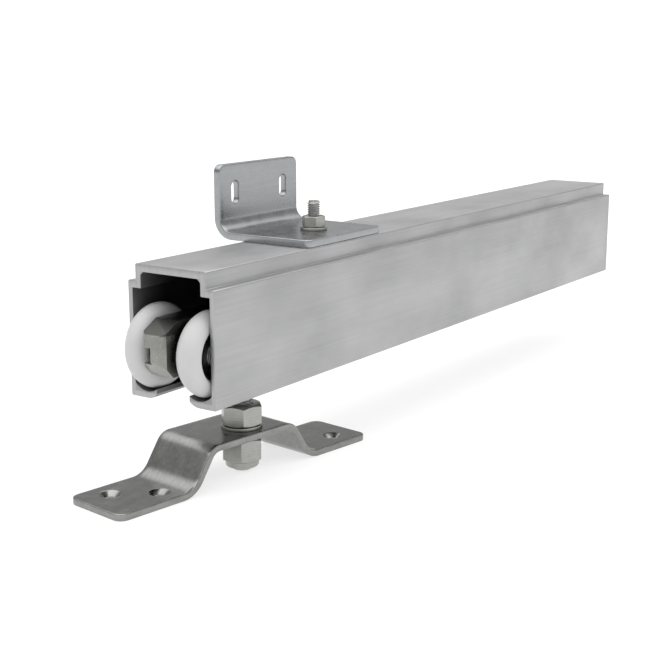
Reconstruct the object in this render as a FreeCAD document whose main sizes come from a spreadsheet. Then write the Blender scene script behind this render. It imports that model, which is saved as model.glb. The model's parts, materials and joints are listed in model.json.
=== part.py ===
import FreeCAD, Part
import math
import os

import Sketcher

# Sliding door hardware: a box track on a wall bracket, with a four-wheel truck inside it and
# a door plate hung from the truck on an adjustable pendant bolt. Millimetres, +Z up, +Y along
# the track. The origin is on the bracket's wall face, midway between its two slots.

# alias: (value, what it is)
SIZES = {
    # where the track lies from the origin
    "wall_gap": (35.0, "wall face to the track's centre plane"),
    "bracket_station": (101.0, "near end of the track to the middle of the bracket"),
    "slot_height": (77.5, "underside of the track to the middle of the wall slots"),
    # track section
    "track_length": (400.0, "length of track"),
    "track_width": (46.0, "over the side walls"),
    "shoulder_height": (49.65, "top of the side walls"),
    "track_height": (56.85, "top of the raised middle"),
    "crown_width": (37.6, "over the raised middle"),
    "side_wall": (2.3, "side wall"),
    "crown_side": (2.8, "side wall of the raised middle"),
    "crown_top": (3.3, "top wall"),
    "shoulder_wall": (3.15, "wall under the shoulder"),
    "crown_chamfer": (1.5, "chamfer inside the raised middle"),
    "track_slot": (17.8, "slot under the track"),
    "rail_line": (14.0, "centre plane to the bottom of a raceway"),
    "rail_level": (2.9, "lowest line of a raceway"),
    "rail_radius": (9.0, "raceway"),
    "lip_radius": (7.5, "underside of a lip"),
    "edge_round": (0.6, "rounding of long outer edges"),
    # bracket and its bolt
    "bracket_width": (60.0, "along the track"),
    "bracket_sheet": (3.5, "thickness"),
    "bracket_reach": (53.5, "wall face to the free edge of the foot"),
    "bracket_rise": (34.0, "top of the track to the top edge"),
    "bracket_bend": (6.0, "inside radius of the bend"),
    "bracket_corner": (3.5, "corner radius"),
    "wall_slot_width": (5.5, "wall slots"),
    "wall_slot_length": (10.5, "wall slots, end to end"),
    "wall_slot_spacing": (37.0, "between the wall slots"),
    "stud_hole": (3.3, "radius of the bolt holes in bracket and track"),
    "stud_radius": (3.0, "bracket bolt"),
    "stud_top": (74.0, "end of the bracket bolt above the track's underside"),
    "stud_head": (4.0, "head height"),
    "stud_flats": (10.0, "across flats of head and nut"),
    "stud_nut": (5.2, "nut height"),
    "stud_point": (0.75, "chamfer at the end of the bracket bolt"),
    "stud_turn": (18.0, "corner of the bracket nut from the X axis, degrees"),
    "stud_washer": (6.25, "washer radius"),
    "stud_washer_bore": (3.2, "washer bore radius"),
    "stud_washer_sheet": (1.4, "washer thickness"),
    # truck
    "axle_station": (8.0, "near end of the track to the front axle"),
    "pendant_station": (45.0, "near end of the track to the pendant"),
    "axle_level": (21.5, "underside of the track to the axles"),
    "axle_radius": (4.0, "axle"),
    "axle_length": (38.6, "axle, end to end"),
    "axle_point": (0.8, "chamfer at an axle's ends"),
    "truck_width": (12.0, "bar of the truck"),
    "truck_floor": (13.0, "underside of the bar"),
    "truck_roof": (36.0, "top of the bar"),
    "nose_reach": (20.2, "front axle to the nose"),
    "nose_low": (19.6, "lower edge of the nose face"),
    "nose_high": (30.6, "upper edge of the nose face"),
    "nose_low_set": (6.0, "run of the lower nose slope"),
    "nose_high_set": (10.0, "run of the upper nose slope"),
    "nose_chamfer": (2.4, "chamfer on the nose's upright edges"),
    "nose_notch": (5.4, "notch in the nose's lower corner, width"),
    "nose_notch_height": (6.0, "notch height"),
    "nose_notch_depth": (9.0, "notch depth"),
    "boss_width": (18.6, "boss in the middle of the bar"),
    "boss_length": (28.0, "boss along the bar"),
    "boss_corner": (3.0, "corner radius of the boss"),
    # wheels
    "tyre_radius": (18.3, "tyre"),
    "tyre_width": (11.6, "tyre"),
    "tyre_crown": (6.0, "radius of the rounded tread"),
    "tyre_bore": (12.2, "recess beside the bearing, radius"),
    "bearing_radius": (11.0, "outside of the bearing"),
    "bearing_width": (7.0, "bearing"),
    "bearing_land": (9.0, "bore of the outer ring"),
    "inner_land": (6.0, "outside of the inner ring"),
    "ball_circle": (7.5, "radius of the ball circle"),
    "ball_radius": (1.98, "ball"),
    "groove_radius": (2.06, "ball grooves"),
    "shield_radius": (6.35, "bore of the shields"),
    "shield_sheet": (0.4, "shield thickness"),
    "shield_inset": (0.15, "shield behind the bearing's face"),
    "clip_sheet": (1.1, "axle end ring"),
    # pendant
    "bolt_radius": (5.0, "pendant bolt"),
    "bolt_flats": (16.0, "across flats of the pendant bolt's head"),
    "bolt_head": (6.4, "head height"),
    "bolt_end": (40.6, "track's underside down to the end of the bolt"),
    "bolt_point": (0.9, "chamfer at the end of the bolt"),
    "bush_radius": (6.5, "outside of the bush"),
    "bush_flange": (8.6, "radius of the bush's flange"),
    "bush_flange_sheet": (1.5, "flange thickness"),
    "running_gap": (0.05, "radial clearance of running fits"),
    "thrust_radius": (9.2, "thrust washer"),
    "thrust_sheet": (1.6, "thrust washer thickness"),
    # nuts and washers on the pendant
    "nut_top": (10.4, "track's underside down to the top of the upper nut"),
    "nut_flats": (17.0, "across flats of the nuts"),
    "nut_height": (9.4, "upper nut"),
    "washer_radius": (9.2, "washer"),
    "washer_bore": (5.25, "washer bore radius"),
    "washer_sheet": (1.5, "washer thickness"),
    "lock_hex": (10.2, "hexagon of the lower nut"),
    "lock_height": (13.4, "lower nut over all"),
    "lock_collar": (7.5, "radius of the lower nut's collar"),
    "lock_wall": (0.9, "wall of the collar"),
    "lock_crimp": (0.72, "chamfer at the collar's end"),
    "insert_height": (2.0, "locking ring in the lower nut"),
    "nut_turn": (8.0, "corner of the bolt's head and the lower nut from the X axis, degrees"),
    "upper_nut_turn": (15.0, "corner of the upper nut from the X axis, degrees"),
    # door plate
    "plate_turn": (-8.0, "plate about the pendant, degrees"),
    "plate_sheet": (3.0, "thickness"),
    "plate_width": (34.0, "width"),
    "plate_length": (150.0, "length"),
    "plate_offset": (-4.0, "middle of the plate from the pendant, along the plate"),
    "plate_side": (-4.5, "middle of the plate from the pendant, across the plate"),
    "plate_drop": (17.0, "middle down to the feet"),
    "plate_middle": (49.0, "raised middle between the bends"),
    "plate_slope": (56.0, "slope of the bends, degrees"),
    "plate_bend_high": (5.0, "inside radius of the upper bends"),
    "plate_bend_low": (10.0, "inside radius of the lower bends"),
    "plate_corner": (4.5, "corner radius"),
    "plate_hole": (5.5, "radius of the pendant hole"),
    "screw_hole": (2.6, "radius of the screw holes"),
    "screw_sink": (2.0, "countersinks, wider and deeper than the holes by this much"),
    "inner_screw": (46.2, "middle of the plate to the inner screw holes"),
    "inner_screw_side": (6.8, "inner screw holes off the centre line"),
    "outer_screw": (61.5, "middle of the plate to the outer screw holes"),
    "outer_screw_side": (6.6, "outer screw holes off the centre line"),
}

BALL_COUNT = 7
ENDS = (("front", 1), ("rear", -1))
SIDES = (("left", -1), ("right", 1))
# a hexagon's bevel: a cone that meets the flat face at this share of the width across flats,
# reaches past the corners at the second share, and drops by this much of its run
BEVEL_INSIDE = 0.475
BEVEL_OUTSIDE = 0.62
BEVEL_DROP = 0.5
# how far a cutting sketch starts outside the metal, and how far it runs past it in all
CLEAR = 1
THROUGH = 2 * CLEAR


class Size:
    """A number together with the sheet expression that gives it."""

    def __init__(self, value, text):
        self.value = value
        self.text = text

    def __add__(self, other):
        other = as_size(other)
        return Size(self.value + other.value, f"({self.text} + {other.text})")

    def __sub__(self, other):
        other = as_size(other)
        return Size(self.value - other.value, f"({self.text} - {other.text})")

    def __mul__(self, other):
        other = as_size(other)
        return Size(self.value * other.value, f"({self.text} * {other.text})")

    def __truediv__(self, other):
        other = as_size(other)
        return Size(self.value / other.value, f"({self.text} / {other.text})")

    def __neg__(self):
        return Size(-self.value, f"(0 - {self.text})")


def as_size(thing):
    """A plain number as a Size; a Size as it is."""
    if isinstance(thing, Size):
        return thing
    if thing < 0:
        return Size(float(thing), f"(0 - {abs(float(thing))})")
    return Size(float(thing), f"{float(thing)}")


def root(a):
    return Size(math.sqrt(a.value), f"sqrt({a.text})")


def tangent(degrees):
    return Size(math.tan(math.radians(degrees.value)), f"tan({degrees.text})")


class Sizes:
    """The sheet's cells as Size values, read as attributes."""

    def __init__(self, table):
        for alias, (value, _) in table.items():
            setattr(self, alias, Size(value, f"dims.{alias}"))


def make_sheet(doc):
    """The driving dimensions, one row each: words, number and alias."""
    sheet = doc.addObject("Spreadsheet::Sheet", "dims")
    for row, (alias, (value, words)) in enumerate(SIZES.items(), start=1):
        sheet.set(f"A{row}", words)
        sheet.set(f"B{row}", str(value))
        sheet.setAlias(f"B{row}", alias)
    doc.recompute()


# --- drawing on a body's own planes -----------------------------------------------------

# plane: (role, direction along the free axis that the plane's normal points)
PLANES = {"xy": ("XY_Plane", 1), "xz": ("XZ_Plane", -1), "yz": ("YZ_Plane", 1)}


def new_body(doc, label):
    """An empty body of that name."""
    body = doc.addObject("PartDesign::Body", label)
    body.Label = label
    return body


def place(obj, x=0, y=0, z=0, angle=None):
    """Puts an object at a point given from the near end of the track, bottom centre."""
    if angle is not None:
        obj.Placement.Rotation = FreeCAD.Rotation(FreeCAD.Vector(0, 0, 1), angle.value)
        obj.setExpression("Placement.Rotation.Angle", angle.text)
    obj.setExpression("Placement.Base.x", (as_size(x) + D.wall_gap).text)
    obj.setExpression("Placement.Base.y", (as_size(y) - D.bracket_station).text)
    obj.setExpression("Placement.Base.z", (as_size(z) - D.slot_height).text)


def new_sketch(body, plane, offset):
    """An empty sketch on one of the body's planes, moved along the plane's free axis."""
    role, sign = PLANES[plane]
    sketch = body.newObject("Sketcher::SketchObject", f"{body.Name}_sketch")
    for feature in body.Origin.OriginFeatures:
        if feature.Role == role:
            sketch.AttachmentSupport = [(feature, "")]
    sketch.MapMode = "FlatFace"
    sketch.setExpression("AttachmentOffset.Base.z", (as_size(offset) * sign).text)
    return sketch


def pin(sketch, geometry, point, x, y):
    """Ties one point of a sketch to a pair of sizes; None leaves that coordinate free."""
    for kind, size in (("DistanceX", x), ("DistanceY", y)):
        if size is not None:
            number = sketch.addConstraint(
                Sketcher.Constraint(kind, -1, 1, geometry, point, size.value))
            sketch.setExpression(f"Constraints[{number}]", size.text)


def outline(body, plane, corners, offset=0, arcs=None):
    """A closed outline through corners, pairs of sizes. arcs maps a corner's number to the
    centre and sense (1 turns left, -1 turns right) of the arc that leaves it."""
    arcs = arcs or {}
    sketch = new_sketch(body, plane, offset)
    corners = [(as_size(x), as_size(y)) for x, y in corners]
    for number, (x, y) in enumerate(corners):
        end_x, end_y = corners[(number + 1) % len(corners)]
        start = FreeCAD.Vector(x.value, y.value, 0)
        end = FreeCAD.Vector(end_x.value, end_y.value, 0)
        if number not in arcs:
            sketch.addGeometry(Part.LineSegment(start, end))
            pin(sketch, number, 1, x, y)
            continue
        centre_x, centre_y, sense = arcs[number]
        middle = FreeCAD.Vector(as_size(centre_x).value, as_size(centre_y).value, 0)
        radius = (start - middle).Length
        first = math.atan2(*reversed((start - middle)[:2]))
        last = math.atan2(*reversed((end - middle)[:2]))
        if sense < 0:
            first, last = last, first
        circle = Part.Circle(middle, FreeCAD.Vector(0, 0, 1), radius)
        sketch.addGeometry(Part.ArcOfCircle(circle, first, last))
        pin(sketch, number, 1 if sense > 0 else 2, x, y)
        steep = abs(end.y - start.y) >= abs(end.x - start.x)
        if steep:
            pin(sketch, number, 3, as_size(centre_x), None)
        else:
            pin(sketch, number, 3, None, as_size(centre_y))
    for number in range(len(corners)):
        after = (number + 1) % len(corners)
        leaves = 1 if number in arcs and arcs[number][2] < 0 else 2
        enters = 2 if after in arcs and arcs[after][2] < 0 else 1
        sketch.addConstraint(Sketcher.Constraint("Coincident", number, leaves, after, enters))
    return sketch


def circles(body, plane, centres, radius, offset=0):
    """A sketch of circles of one radius."""
    sketch = new_sketch(body, plane, offset)
    for number, (x, y) in enumerate(centres):
        x, y = as_size(x), as_size(y)
        centre = FreeCAD.Vector(x.value, y.value, 0)
        sketch.addGeometry(Part.Circle(centre, FreeCAD.Vector(0, 0, 1), radius.value))
        pin(sketch, number, 3, x, y)
        tied = sketch.addConstraint(Sketcher.Constraint("Radius", number, radius.value))
        sketch.setExpression(f"Constraints[{tied}]", radius.text)
    return sketch


def feature(body, kind, sketch):
    """A new pad, pocket, revolution or groove of a sketch."""
    made = body.newObject(f"PartDesign::{kind}", f"{body.Name}_{kind.lower()}")
    made.Profile = sketch
    return made


def finish_feature(body, made, cuts):
    """Recomputes and makes sure that a cut took something away, or an addition added it."""
    before = body.Tip.BaseFeature.Shape.Volume if body.Tip.BaseFeature else 0.0
    body.Document.recompute()
    change = made.Shape.Volume - before
    if (change < 0) != cuts or abs(change) < 1e-3:
        raise RuntimeError(f"{made.Name} changed the volume by {change}")


def extrude(body, plane, sketch, length, cuts=False):
    """Pads or pockets a sketch towards the positive side of the free axis."""
    made = feature(body, "Pocket" if cuts else "Pad", sketch)
    made.setExpression("Length", as_size(length).text)
    towards_normal = PLANES[plane][1] > 0
    made.Reversed = towards_normal if cuts else not towards_normal
    finish_feature(body, made, cuts)


def turn(body, sketch, axis, cuts=False):
    """Revolves a sketch about its own horizontal (H_Axis) or vertical (V_Axis) axis."""
    made = feature(body, "Groove" if cuts else "Revolution", sketch)
    made.ReferenceAxis = (sketch, [axis])
    made.Angle = 360
    finish_feature(body, made, cuts)


def edges_where(body, test):
    """The names of the edges whose end points both pass the test."""
    names = []
    for number, edge in enumerate(body.Shape.Edges, start=1):
        points = [v.Point for v in edge.Vertexes]
        if len(points) == 2 and test(points[0], points[1]):
            names.append(f"Edge{number}")
    return names


def rims_at(body, radius, level):
    """The names of the round edges of one radius at one height."""
    names = []
    for number, edge in enumerate(body.Shape.Edges, start=1):
        if len(edge.Vertexes) == 1 and close(edge.Curve.Radius, radius) \
                and close(edge.Vertexes[0].Z, level):
            names.append(f"Edge{number}")
    return names


def round_edges(body, names, size, kind="Fillet"):
    """Rounds the named edges to a radius, or chamfers them by a width."""
    made = body.newObject(f"PartDesign::{kind}", f"{body.Name}_{kind.lower()}")
    made.Base = (made.BaseFeature, names)
    made.setExpression("Radius" if kind == "Fillet" else "Size", size.text)
    body.Document.recompute()


def close(a, b):
    """Whether two lengths are the same."""
    return abs(a - b) < 1e-4


# --- shapes that several pieces share ---------------------------------------------------

def box_corners(low_x, low_y, high_x, high_y):
    """The corners of a rectangle, in order."""
    return [(low_x, low_y), (high_x, low_y), (high_x, high_y), (low_x, high_y)]


def ring(doc, label, inside, outside, low, height):
    """A washer or ring about the upright axis."""
    body = new_body(doc, label)
    corners = box_corners(inside, low, outside, low + height)
    turn(body, outline(body, "xz", corners), "V_Axis")
    return body


def sleeve(doc, label, inside, outside, low, length):
    """A ring about the body's X axis."""
    body = new_body(doc, label)
    corners = box_corners(low, inside, low + length, outside)
    turn(body, outline(body, "xz", corners), "H_Axis")
    return body


def hexagon(body, flats, low, height):
    """A hexagonal prism about the upright axis with a corner on the X axis."""
    half = flats / 2
    corner = half / root(as_size(0.75))
    corners = [(corner, 0), (corner / 2, half), (-corner / 2, half),
               (-corner, 0), (-corner / 2, -half), (corner / 2, -half)]
    extrude(body, "xy", outline(body, "xy", corners, offset=low), height)


def bevel_hexagon(body, flats, level, up):
    """Turns away the corners of a hexagon at a level, above it (up 1) or below it (up -1)."""
    inner = flats * BEVEL_INSIDE
    outer = flats * BEVEL_OUTSIDE
    drop = (outer - inner) * BEVEL_DROP
    corners = [(inner, level), (outer, level - drop * up), (outer, level + drop * up)]
    turn(body, outline(body, "xz", corners), "V_Axis", cuts=True)


# --- track and bracket ------------------------------------------------------------------

def make_track(doc):
    """The extruded box track: two side walls on raceway lips, shoulders and a raised middle."""
    half = D.track_width / 2
    inner = half - D.side_wall
    crown = D.crown_width / 2
    crown_inner = crown - D.crown_side
    tip = D.track_slot / 2
    rail_z = D.rail_level + D.rail_radius
    tip_run = D.rail_line - tip
    wall_run = inner - D.rail_line
    tip_top = rail_z - root(D.rail_radius * D.rail_radius - tip_run * tip_run)
    wall_top = rail_z - root(D.rail_radius * D.rail_radius - wall_run * wall_run)
    tip_low = D.lip_radius - root(D.lip_radius * D.lip_radius - tip_run * tip_run)
    ledge = D.shoulder_height - D.shoulder_wall
    roof = D.track_height - D.crown_top
    right = [
        (tip, tip_low),
        (D.rail_line, as_size(0)),
        (half, as_size(0)),
        (half, D.shoulder_height),
        (crown, D.shoulder_height),
        (crown, D.track_height),
    ]
    right_inside = [
        (crown_inner - D.crown_chamfer, roof),
        (crown_inner, roof - D.crown_chamfer),
        (crown_inner, ledge),
        (inner, ledge),
        (inner, wall_top),
        (tip, tip_top),
    ]
    left = [(-x, z) for x, z in reversed(right)]
    left_inside = [(-x, z) for x, z in reversed(right_inside)]
    corners = right + left + left_inside + right_inside
    arcs = {
        0: (D.rail_line, D.lip_radius, 1),
        10: (-D.rail_line, D.lip_radius, 1),
        12: (-D.rail_line, rail_z, -1),
        22: (D.rail_line, rail_z, -1),
    }
    body = new_body(doc, "track_extrusion")
    sketch = outline(body, "xz", corners, arcs=arcs)
    extrude(body, "xz", sketch, D.track_length)
    outer_x = (half.value, crown.value)
    outer_z = (D.shoulder_height.value, D.track_height.value)
    names = edges_where(body, lambda a, b: abs(a.y - b.y) > 1 and (
        any(close(abs(a.x), x) for x in outer_x) and any(close(a.z, z) for z in outer_z))
        and not (close(abs(a.x), crown.value) and close(a.z, D.shoulder_height.value)))
    round_edges(body, names, D.edge_round)
    hole = circles(body, "xy", [(0, D.bracket_station)], D.stud_hole, offset=roof - CLEAR)
    extrude(body, "xy", hole, D.crown_top + THROUGH, cuts=True)
    place(body)
    return body


def make_bracket(doc):
    """The bent wall bracket: an upright leg with two slots and a foot with the bolt hole."""
    reach = D.bracket_reach
    sheet = D.bracket_sheet
    low = D.track_height
    high = D.track_height + D.bracket_rise
    body = new_body(doc, "wall_bracket")
    corners = [(0, low), (reach, low), (reach, low + sheet), (sheet, low + sheet),
               (sheet, high), (0, high)]
    extrude(body, "xz", outline(body, "xz", corners, offset=-D.bracket_width / 2),
            D.bracket_width)
    heel = edges_where(body, lambda a, b: close(a.x, 0) and close(b.x, 0)
                       and close(a.z, low.value) and close(b.z, low.value))
    round_edges(body, heel, D.bracket_bend + sheet)
    throat = edges_where(body, lambda a, b: close(a.x, sheet.value) and close(b.x, sheet.value)
                         and close(a.z, (low + sheet).value)
                         and close(b.z, (low + sheet).value))
    round_edges(body, throat, D.bracket_bend)
    tips = edges_where(body, lambda a, b: close(a.y, b.y) and (
        (close(a.x, reach.value) and close(b.x, reach.value))
        or (close(a.z, high.value) and close(b.z, high.value))))
    round_edges(body, tips, D.bracket_corner)
    hole = circles(body, "xy", [(D.wall_gap, 0)], D.stud_hole, offset=low - CLEAR)
    extrude(body, "xy", hole, sheet + THROUGH, cuts=True)
    half_width = D.wall_slot_width / 2
    straight = D.wall_slot_length / 2 - half_width
    for side in (-1, 1):
        y = D.wall_slot_spacing * 0.5 * side
        bottom = D.slot_height - straight
        top = D.slot_height + straight
        slot = outline(body, "yz", box_corners(y - half_width, bottom, y + half_width, top),
                       offset=-CLEAR, arcs={0: (y, bottom, 1), 2: (y, top, 1)})
        extrude(body, "yz", slot, sheet + THROUGH, cuts=True)
    place(body, x=-D.wall_gap, y=D.bracket_station)
    return body


def make_bracket_bolt(doc):
    """The bolt that holds the bracket: its head lies inside the raised middle of the track."""
    roof = D.track_height - D.crown_top
    head_low = roof - D.stud_head
    body = new_body(doc, "bracket_bolt")
    hexagon(body, D.stud_flats, head_low, D.stud_head)
    bevel_hexagon(body, D.stud_flats, head_low, -1)
    corners = [(0, roof), (D.stud_radius, roof), (D.stud_radius, D.stud_top - D.stud_point),
               (D.stud_radius - D.stud_point, D.stud_top), (0, D.stud_top)]
    turn(body, outline(body, "xz", corners), "V_Axis")
    place(body, y=D.bracket_station)
    return body


def make_bracket_washer(doc):
    """The washer on the bracket's foot."""
    low = D.track_height + D.bracket_sheet
    body = ring(doc, "bracket_washer", D.stud_washer_bore, D.stud_washer, low,
                D.stud_washer_sheet)
    place(body, y=D.bracket_station)
    return body


def make_bracket_nut(doc):
    """The hexagonal nut on the bracket bolt."""
    low = D.track_height + D.bracket_sheet + D.stud_washer_sheet
    body = new_body(doc, "bracket_nut")
    hexagon(body, D.stud_flats, low, D.stud_nut)
    bevel_hexagon(body, D.stud_flats, low + D.stud_nut, 1)
    bevel_hexagon(body, D.stud_flats, low, -1)
    hole = circles(body, "xy", [(0, 0)], D.stud_radius, offset=low - CLEAR)
    extrude(body, "xy", hole, D.stud_nut + THROUGH, cuts=True)
    place(body, y=D.bracket_station, angle=D.stud_turn)
    return body


# --- truck ------------------------------------------------------------------------------

def make_truck_body(doc):
    """The steel bar that carries both axles, with a wider boss for the pendant bolt."""
    half = D.pendant_station - D.axle_station + D.nose_reach
    low_run = half - D.nose_low_set
    high_run = half - D.nose_high_set
    corners = [(-low_run, D.truck_floor), (low_run, D.truck_floor), (half, D.nose_low),
               (half, D.nose_high), (high_run, D.truck_roof), (-high_run, D.truck_roof),
               (-half, D.nose_high), (-half, D.nose_low)]
    body = new_body(doc, "truck_body")
    side = D.truck_width / 2
    extrude(body, "yz", outline(body, "yz", corners, offset=-side), D.truck_width)
    upright = edges_where(body, lambda a, b: close(a.x, b.x) and close(abs(a.y), half.value)
                          and close(abs(b.y), half.value))
    round_edges(body, upright, D.nose_chamfer, kind="Chamfer")
    boss = box_corners(-D.boss_width / 2, -D.boss_length / 2,
                       D.boss_width / 2, D.boss_length / 2)
    extrude(body, "xy", outline(body, "xy", boss, offset=D.truck_floor),
            D.truck_roof - D.truck_floor)
    posts = edges_where(body, lambda a, b: close(a.x, b.x) and close(a.y, b.y)
                        and close(abs(a.x), D.boss_width.value / 2))
    round_edges(body, posts, D.boss_corner)
    notch = box_corners(-side - CLEAR, D.nose_low - CLEAR, D.nose_notch - side,
                        D.nose_low + D.nose_notch_height)
    extrude(body, "xz", outline(body, "xz", notch, offset=-half - CLEAR),
            D.nose_notch_depth + CLEAR, cuts=True)
    reach = D.pendant_station - D.axle_station
    holes = circles(body, "yz", [(-reach, D.axle_level), (reach, D.axle_level)],
                    D.axle_radius, offset=-side - CLEAR)
    extrude(body, "yz", holes, D.truck_width + THROUGH, cuts=True)
    bore = circles(body, "xy", [(0, 0)], D.bush_radius, offset=D.truck_floor - CLEAR)
    extrude(body, "xy", bore, D.truck_roof - D.truck_floor + THROUGH, cuts=True)
    place(body, y=D.pendant_station)
    return body


def axle_y(facing):
    """The station of the front axle (facing 1) or the rear one (facing -1)."""
    return D.pendant_station - (D.pendant_station - D.axle_station) * facing


def make_axle(doc, end, facing):
    """One axle pin with chamfered ends, across both wheels."""
    half = D.axle_length / 2
    point = D.axle_point
    corners = [(-half, 0), (half, 0), (half, D.axle_radius - point),
               (half - point, D.axle_radius), (-half + point, D.axle_radius),
               (-half, D.axle_radius - point)]
    body = new_body(doc, f"axle_{end}")
    turn(body, outline(body, "xz", corners), "H_Axis")
    place(body, y=axle_y(facing), z=D.axle_level)
    return body


def make_truck_rings(doc, end, facing, side, sign):
    """What sits still on one end of an axle: spacer, bearing inner ring and end ring."""
    half_bearing = D.bearing_width / 2
    wheel_x = D.rail_line * sign
    spacer_length = D.rail_line - half_bearing - D.truck_width / 2
    spacer_low = D.truck_width / 2 if sign > 0 else -D.truck_width / 2 - spacer_length
    spacer = sleeve(doc, f"spacer_{end}_{side}", D.axle_radius, D.inner_land,
                    spacer_low, spacer_length)
    clip_low = wheel_x + (half_bearing if sign > 0 else -half_bearing - D.clip_sheet)
    clip = sleeve(doc, f"axle_ring_{end}_{side}", D.axle_radius, D.inner_land,
                  clip_low, D.clip_sheet)
    groove_half = root(D.groove_radius * D.groove_radius
                       - (D.ball_circle - D.inner_land) * (D.ball_circle - D.inner_land))
    inner = new_body(doc, f"bearing_inner_{end}_{side}")
    corners = [(wheel_x - half_bearing, D.axle_radius), (wheel_x + half_bearing, D.axle_radius),
               (wheel_x + half_bearing, D.inner_land), (wheel_x + groove_half, D.inner_land),
               (wheel_x - groove_half, D.inner_land), (wheel_x - half_bearing, D.inner_land)]
    sketch = outline(inner, "xz", corners, arcs={3: (wheel_x, D.ball_circle, -1)})
    turn(inner, sketch, "H_Axis")
    for body in (spacer, clip, inner):
        place(body, y=axle_y(facing), z=D.axle_level)
    return [spacer, clip, inner]


# --- wheels -----------------------------------------------------------------------------

def make_tyre(doc, end, side):
    """The white wheel: a tyre with a rounded tread over the bearing's seat."""
    half = D.tyre_width / 2
    seat = D.bearing_width / 2
    crown_r = D.tyre_radius - D.tyre_crown
    shoulder = crown_r + root(D.tyre_crown * D.tyre_crown - half * half)
    corners = [(-seat, D.bearing_radius), (seat, D.bearing_radius), (seat, D.tyre_bore),
               (half, D.tyre_bore), (half, shoulder), (-half, shoulder),
               (-half, D.tyre_bore), (-seat, D.tyre_bore)]
    body = new_body(doc, f"tyre_{end}_{side}")
    turn(body, outline(body, "xz", corners, arcs={4: (0, crown_r, 1)}), "H_Axis")
    return body


def make_outer_ring(doc, end, side):
    """The outer ring of a wheel's bearing, with its ball groove."""
    half = D.bearing_width / 2
    land = D.bearing_land - D.ball_circle
    groove_half = root(D.groove_radius * D.groove_radius - land * land)
    corners = [(-half, D.bearing_land), (-groove_half, D.bearing_land),
               (groove_half, D.bearing_land), (half, D.bearing_land),
               (half, D.bearing_radius), (-half, D.bearing_radius)]
    body = new_body(doc, f"bearing_outer_{end}_{side}")
    turn(body, outline(body, "xz", corners, arcs={1: (0, D.ball_circle, -1)}), "H_Axis")
    return body


def make_balls(doc, end, side):
    """The ring of balls, as one group of separate spheres."""
    balls = []
    for number in range(BALL_COUNT):
        angle = 2 * math.pi * number / BALL_COUNT
        centre = FreeCAD.Vector(0, math.cos(angle), math.sin(angle)) * D.ball_circle.value
        balls.append(Part.makeSphere(D.ball_radius.value, centre))
    group = doc.addObject("Part::Feature", f"bearing_balls_{end}_{side}")
    group.Label = group.Name
    group.Shape = Part.makeCompound(balls)
    return group


def make_shield(doc, end, side, face, sign):
    """One thin shield in the outer ring, on the inward or outward face of the bearing."""
    outer = D.bearing_width / 2 - D.shield_inset
    low = outer - D.shield_sheet if sign > 0 else -outer
    return sleeve(doc, f"bearing_shield_{end}_{side}_{face}", D.shield_radius,
                  D.bearing_land, low, D.shield_sheet)


def make_wheel(doc, end, facing, side, sign):
    """Everything that turns on one end of an axle."""
    pieces = [make_tyre(doc, end, side), make_outer_ring(doc, end, side),
              make_balls(doc, end, side),
              make_shield(doc, end, side, "inward", -sign),
              make_shield(doc, end, side, "outward", sign)]
    for piece in pieces:
        place(piece, x=D.rail_line * sign, y=axle_y(facing), z=D.axle_level)
    return pieces


# --- pendant ----------------------------------------------------------------------------

def flange_top():
    """The top of the bush's flange, from the track's underside."""
    return D.truck_roof + D.bush_flange_sheet


def make_bush(doc):
    """The flanged bush in the boss."""
    inside = D.bolt_radius + D.running_gap
    corners = [(inside, D.truck_floor), (D.bush_radius, D.truck_floor),
               (D.bush_radius, D.truck_roof), (D.bush_flange, D.truck_roof),
               (D.bush_flange, flange_top()), (inside, flange_top())]
    body = new_body(doc, "pendant_bush")
    turn(body, outline(body, "xz", corners), "V_Axis")
    place(body, y=D.pendant_station)
    return body


def make_thrust_washer(doc):
    """The washer between the bush and the pendant bolt's head."""
    body = ring(doc, "thrust_washer", D.bolt_radius, D.thrust_radius,
                flange_top() + D.running_gap, D.thrust_sheet)
    place(body, y=D.pendant_station)
    return body


def make_pendant_bolt(doc):
    """The bolt that hangs from the truck, its head at the top."""
    head_low = flange_top() + D.running_gap + D.thrust_sheet
    body = new_body(doc, "pendant_bolt")
    hexagon(body, D.bolt_flats, head_low, D.bolt_head)
    bevel_hexagon(body, D.bolt_flats, head_low + D.bolt_head, 1)
    corners = [(0, -D.bolt_end), (D.bolt_radius - D.bolt_point, -D.bolt_end),
               (D.bolt_radius, D.bolt_point - D.bolt_end), (D.bolt_radius, head_low),
               (0, head_low)]
    turn(body, outline(body, "xz", corners), "V_Axis")
    place(body, y=D.pendant_station, angle=D.nut_turn)
    return body


def make_upper_nut(doc):
    """The nut above the door plate."""
    low = -D.nut_top - D.nut_height
    body = new_body(doc, "upper_nut")
    hexagon(body, D.nut_flats, low, D.nut_height)
    bevel_hexagon(body, D.nut_flats, low + D.nut_height, 1)
    bevel_hexagon(body, D.nut_flats, low, -1)
    bore = circles(body, "xy", [(0, 0)], D.bolt_radius + D.running_gap, offset=low - CLEAR)
    extrude(body, "xy", bore, D.nut_height + THROUGH, cuts=True)
    place(body, y=D.pendant_station, angle=D.upper_nut_turn)
    return body


def plate_top():
    """The top of the door plate's middle, from the track's underside."""
    return -D.nut_top - D.nut_height - D.washer_sheet


def lock_nut_top():
    """The top of the lower nut, from the track's underside."""
    return plate_top() - D.plate_sheet - D.washer_sheet


def make_washers(doc):
    """The washers above and below the door plate."""
    lows = {"upper_washer": plate_top(), "lower_washer": lock_nut_top()}
    washers = []
    for label, low in lows.items():
        body = ring(doc, label, D.washer_bore, D.washer_radius, low, D.washer_sheet)
        place(body, y=D.pendant_station)
        washers.append(body)
    return washers


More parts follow.
